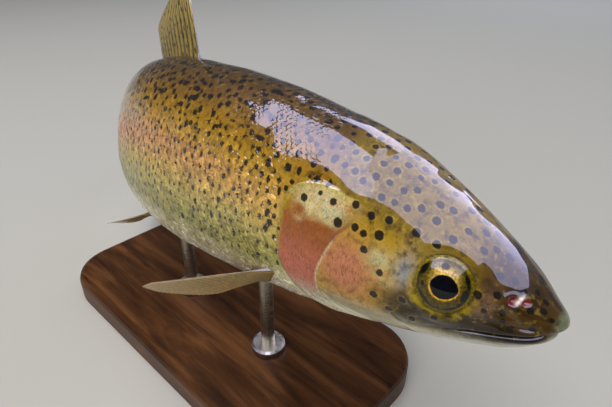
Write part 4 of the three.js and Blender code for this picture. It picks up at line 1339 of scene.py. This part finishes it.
# floor, light and camera
def makeFloor():
    mesh = bpy.data.meshes.new("floor")
    half = 6.0
    mesh.from_pydata([(-half, -half, 0), (half, -half, 0), (half, half, 0), (-half, half, 0)], [], [(0, 1, 2, 3)])
    floor = bpy.data.objects.new("floor", mesh)
    bpy.context.scene.collection.objects.link(floor)
    material, tree = newMaterial("pale_paper_floor")
    shader = addNode(tree, "BsdfPrincipled", {"Base Color": rgba("#cfd0d0"), "Roughness": 0.75})
    addNode(tree, "OutputMaterial", {"Surface": shader.outputs[0]})
    mesh.materials.append(material)


# A lamp with no diffuse share only shows as a reflection, and one with no gloss share only lights.
def areaLight(name, spot, aimAt, size, power, tint="#ffffff", lights=True, reflects=True, only=None):
    lamp = bpy.data.lights.new(name, "AREA")
    lamp.shape = "RECTANGLE"
    lamp.size, lamp.size_y = size
    lamp.energy = power
    lamp.color = linearColour(tint)
    holder = bpy.data.objects.new(name, lamp)
    holder.location = spot
    holder.rotation_euler = (Vector(aimAt) - Vector(spot)).to_track_quat("-Z", "Y").to_euler()
    holder.visible_diffuse = lights
    holder.visible_glossy = reflects
    if only:
        holder.light_linking.receiver_collection = only
    bpy.context.scene.collection.objects.link(holder)


studio = {
    "ceiling": 2.6,            # height of the overhead softboxes, metres
    "boards": (                # from x, to x, from y, to y, and watts for each square metre
        (-0.5, 2.6, -2.65, 15.0, 25), (-2.0, -0.5, -2.65, 0.35, 40), (-2.6, -2.0, -2.65, -0.4, 40), (-2.1, -0.5, 2.0, 4.6, 28),
    ),
    "boardTint": "#c6c6ec",
    "topPower": 30,
    "sidePower": 16,
    "fillPower": 6,
    "ambient": 0.16,
}
glossyPieces = bpy.data.collections.new("glossy_pieces")
for piece in bpy.context.scene.objects:
    if piece.type == "MESH" and piece.name != "stand_base":
        glossyPieces.objects.link(piece)
makeFloor()
world = bpy.data.worlds.new("studio")
bpy.context.scene.world = world
world.use_nodes = True
world.node_tree.nodes["Background"].inputs["Color"].default_value = rgba("#cdd2da")
world.node_tree.nodes["Background"].inputs["Strength"].default_value = studio["ambient"]
for number, (fromX, toX, fromY, toY, glow) in enumerate(studio["boards"]):
    middleX, middleY = (fromX + toX) / 2, (fromY + toY) / 2
    wide, deep = toX - fromX, toY - fromY
    areaLight(f"ceiling_softbox_{number}", (middleX, middleY, studio["ceiling"]), (middleX, middleY, 0), (wide, deep),
              glow * wide * deep, studio["boardTint"], lights=False, only=glossyPieces)
areaLight("top_light", (-0.1, -0.5, 2.0), (0, 0, 0.1), (1.8, 1.8), studio["topPower"], "#fffaf2", reflects=False)
areaLight("side_light", (0.5, -1.6, 0.8), (0, 0, 0.1), (1.4, 1.2), studio["sidePower"], "#fff4e6", reflects=False)
areaLight("far_light", (-0.3, 1.7, 0.9), (0, 0, 0.1), (1.4, 1.2), studio["fillPower"], "#eef3ff", reflects=False)
bpy.context.scene.view_settings.view_transform = "Standard"

shot = {
    "fromSnout": (11.12, -130.8, 55.52),  # fish frame, mm
    "azimuth": 38.19,
    "elevation": 18.805,
    "roll": 11.186,
    "focalShare": 474.8 / 612,            # focal length over picture width
}


def makeCamera():
    az, el, roll = (math.radians(shot[key]) for key in ("azimuth", "elevation", "roll"))
    back = np.array([math.cos(el) * math.sin(az), -math.cos(el) * math.cos(az), math.sin(el)])
    right = np.array([math.cos(az), math.sin(az), 0])
    up = np.cross(back, right)
    right, up = right * math.cos(roll) + up * math.sin(roll), up * math.cos(roll) - right * math.sin(roll)
    axes = np.stack([right, up, back]) @ leanTurn.T
    lens = bpy.data.cameras.new("camera")
    lens.sensor_width = 36
    lens.lens = 36 * shot["focalShare"]
    lens.clip_start, lens.clip_end = 0.01, 50
    camera = bpy.data.objects.new("camera", lens)
    bpy.context.scene.collection.objects.link(camera)
    spot = toRow(np.array(shot["fromSnout"])) * mm
    turn = Matrix([list(row) for row in axes.T]).to_4x4()
    camera.matrix_world = Matrix.Translation(Vector(spot)) @ turn
    bpy.context.scene.camera = camera


makeCamera()

bpy.context.view_layer.update()
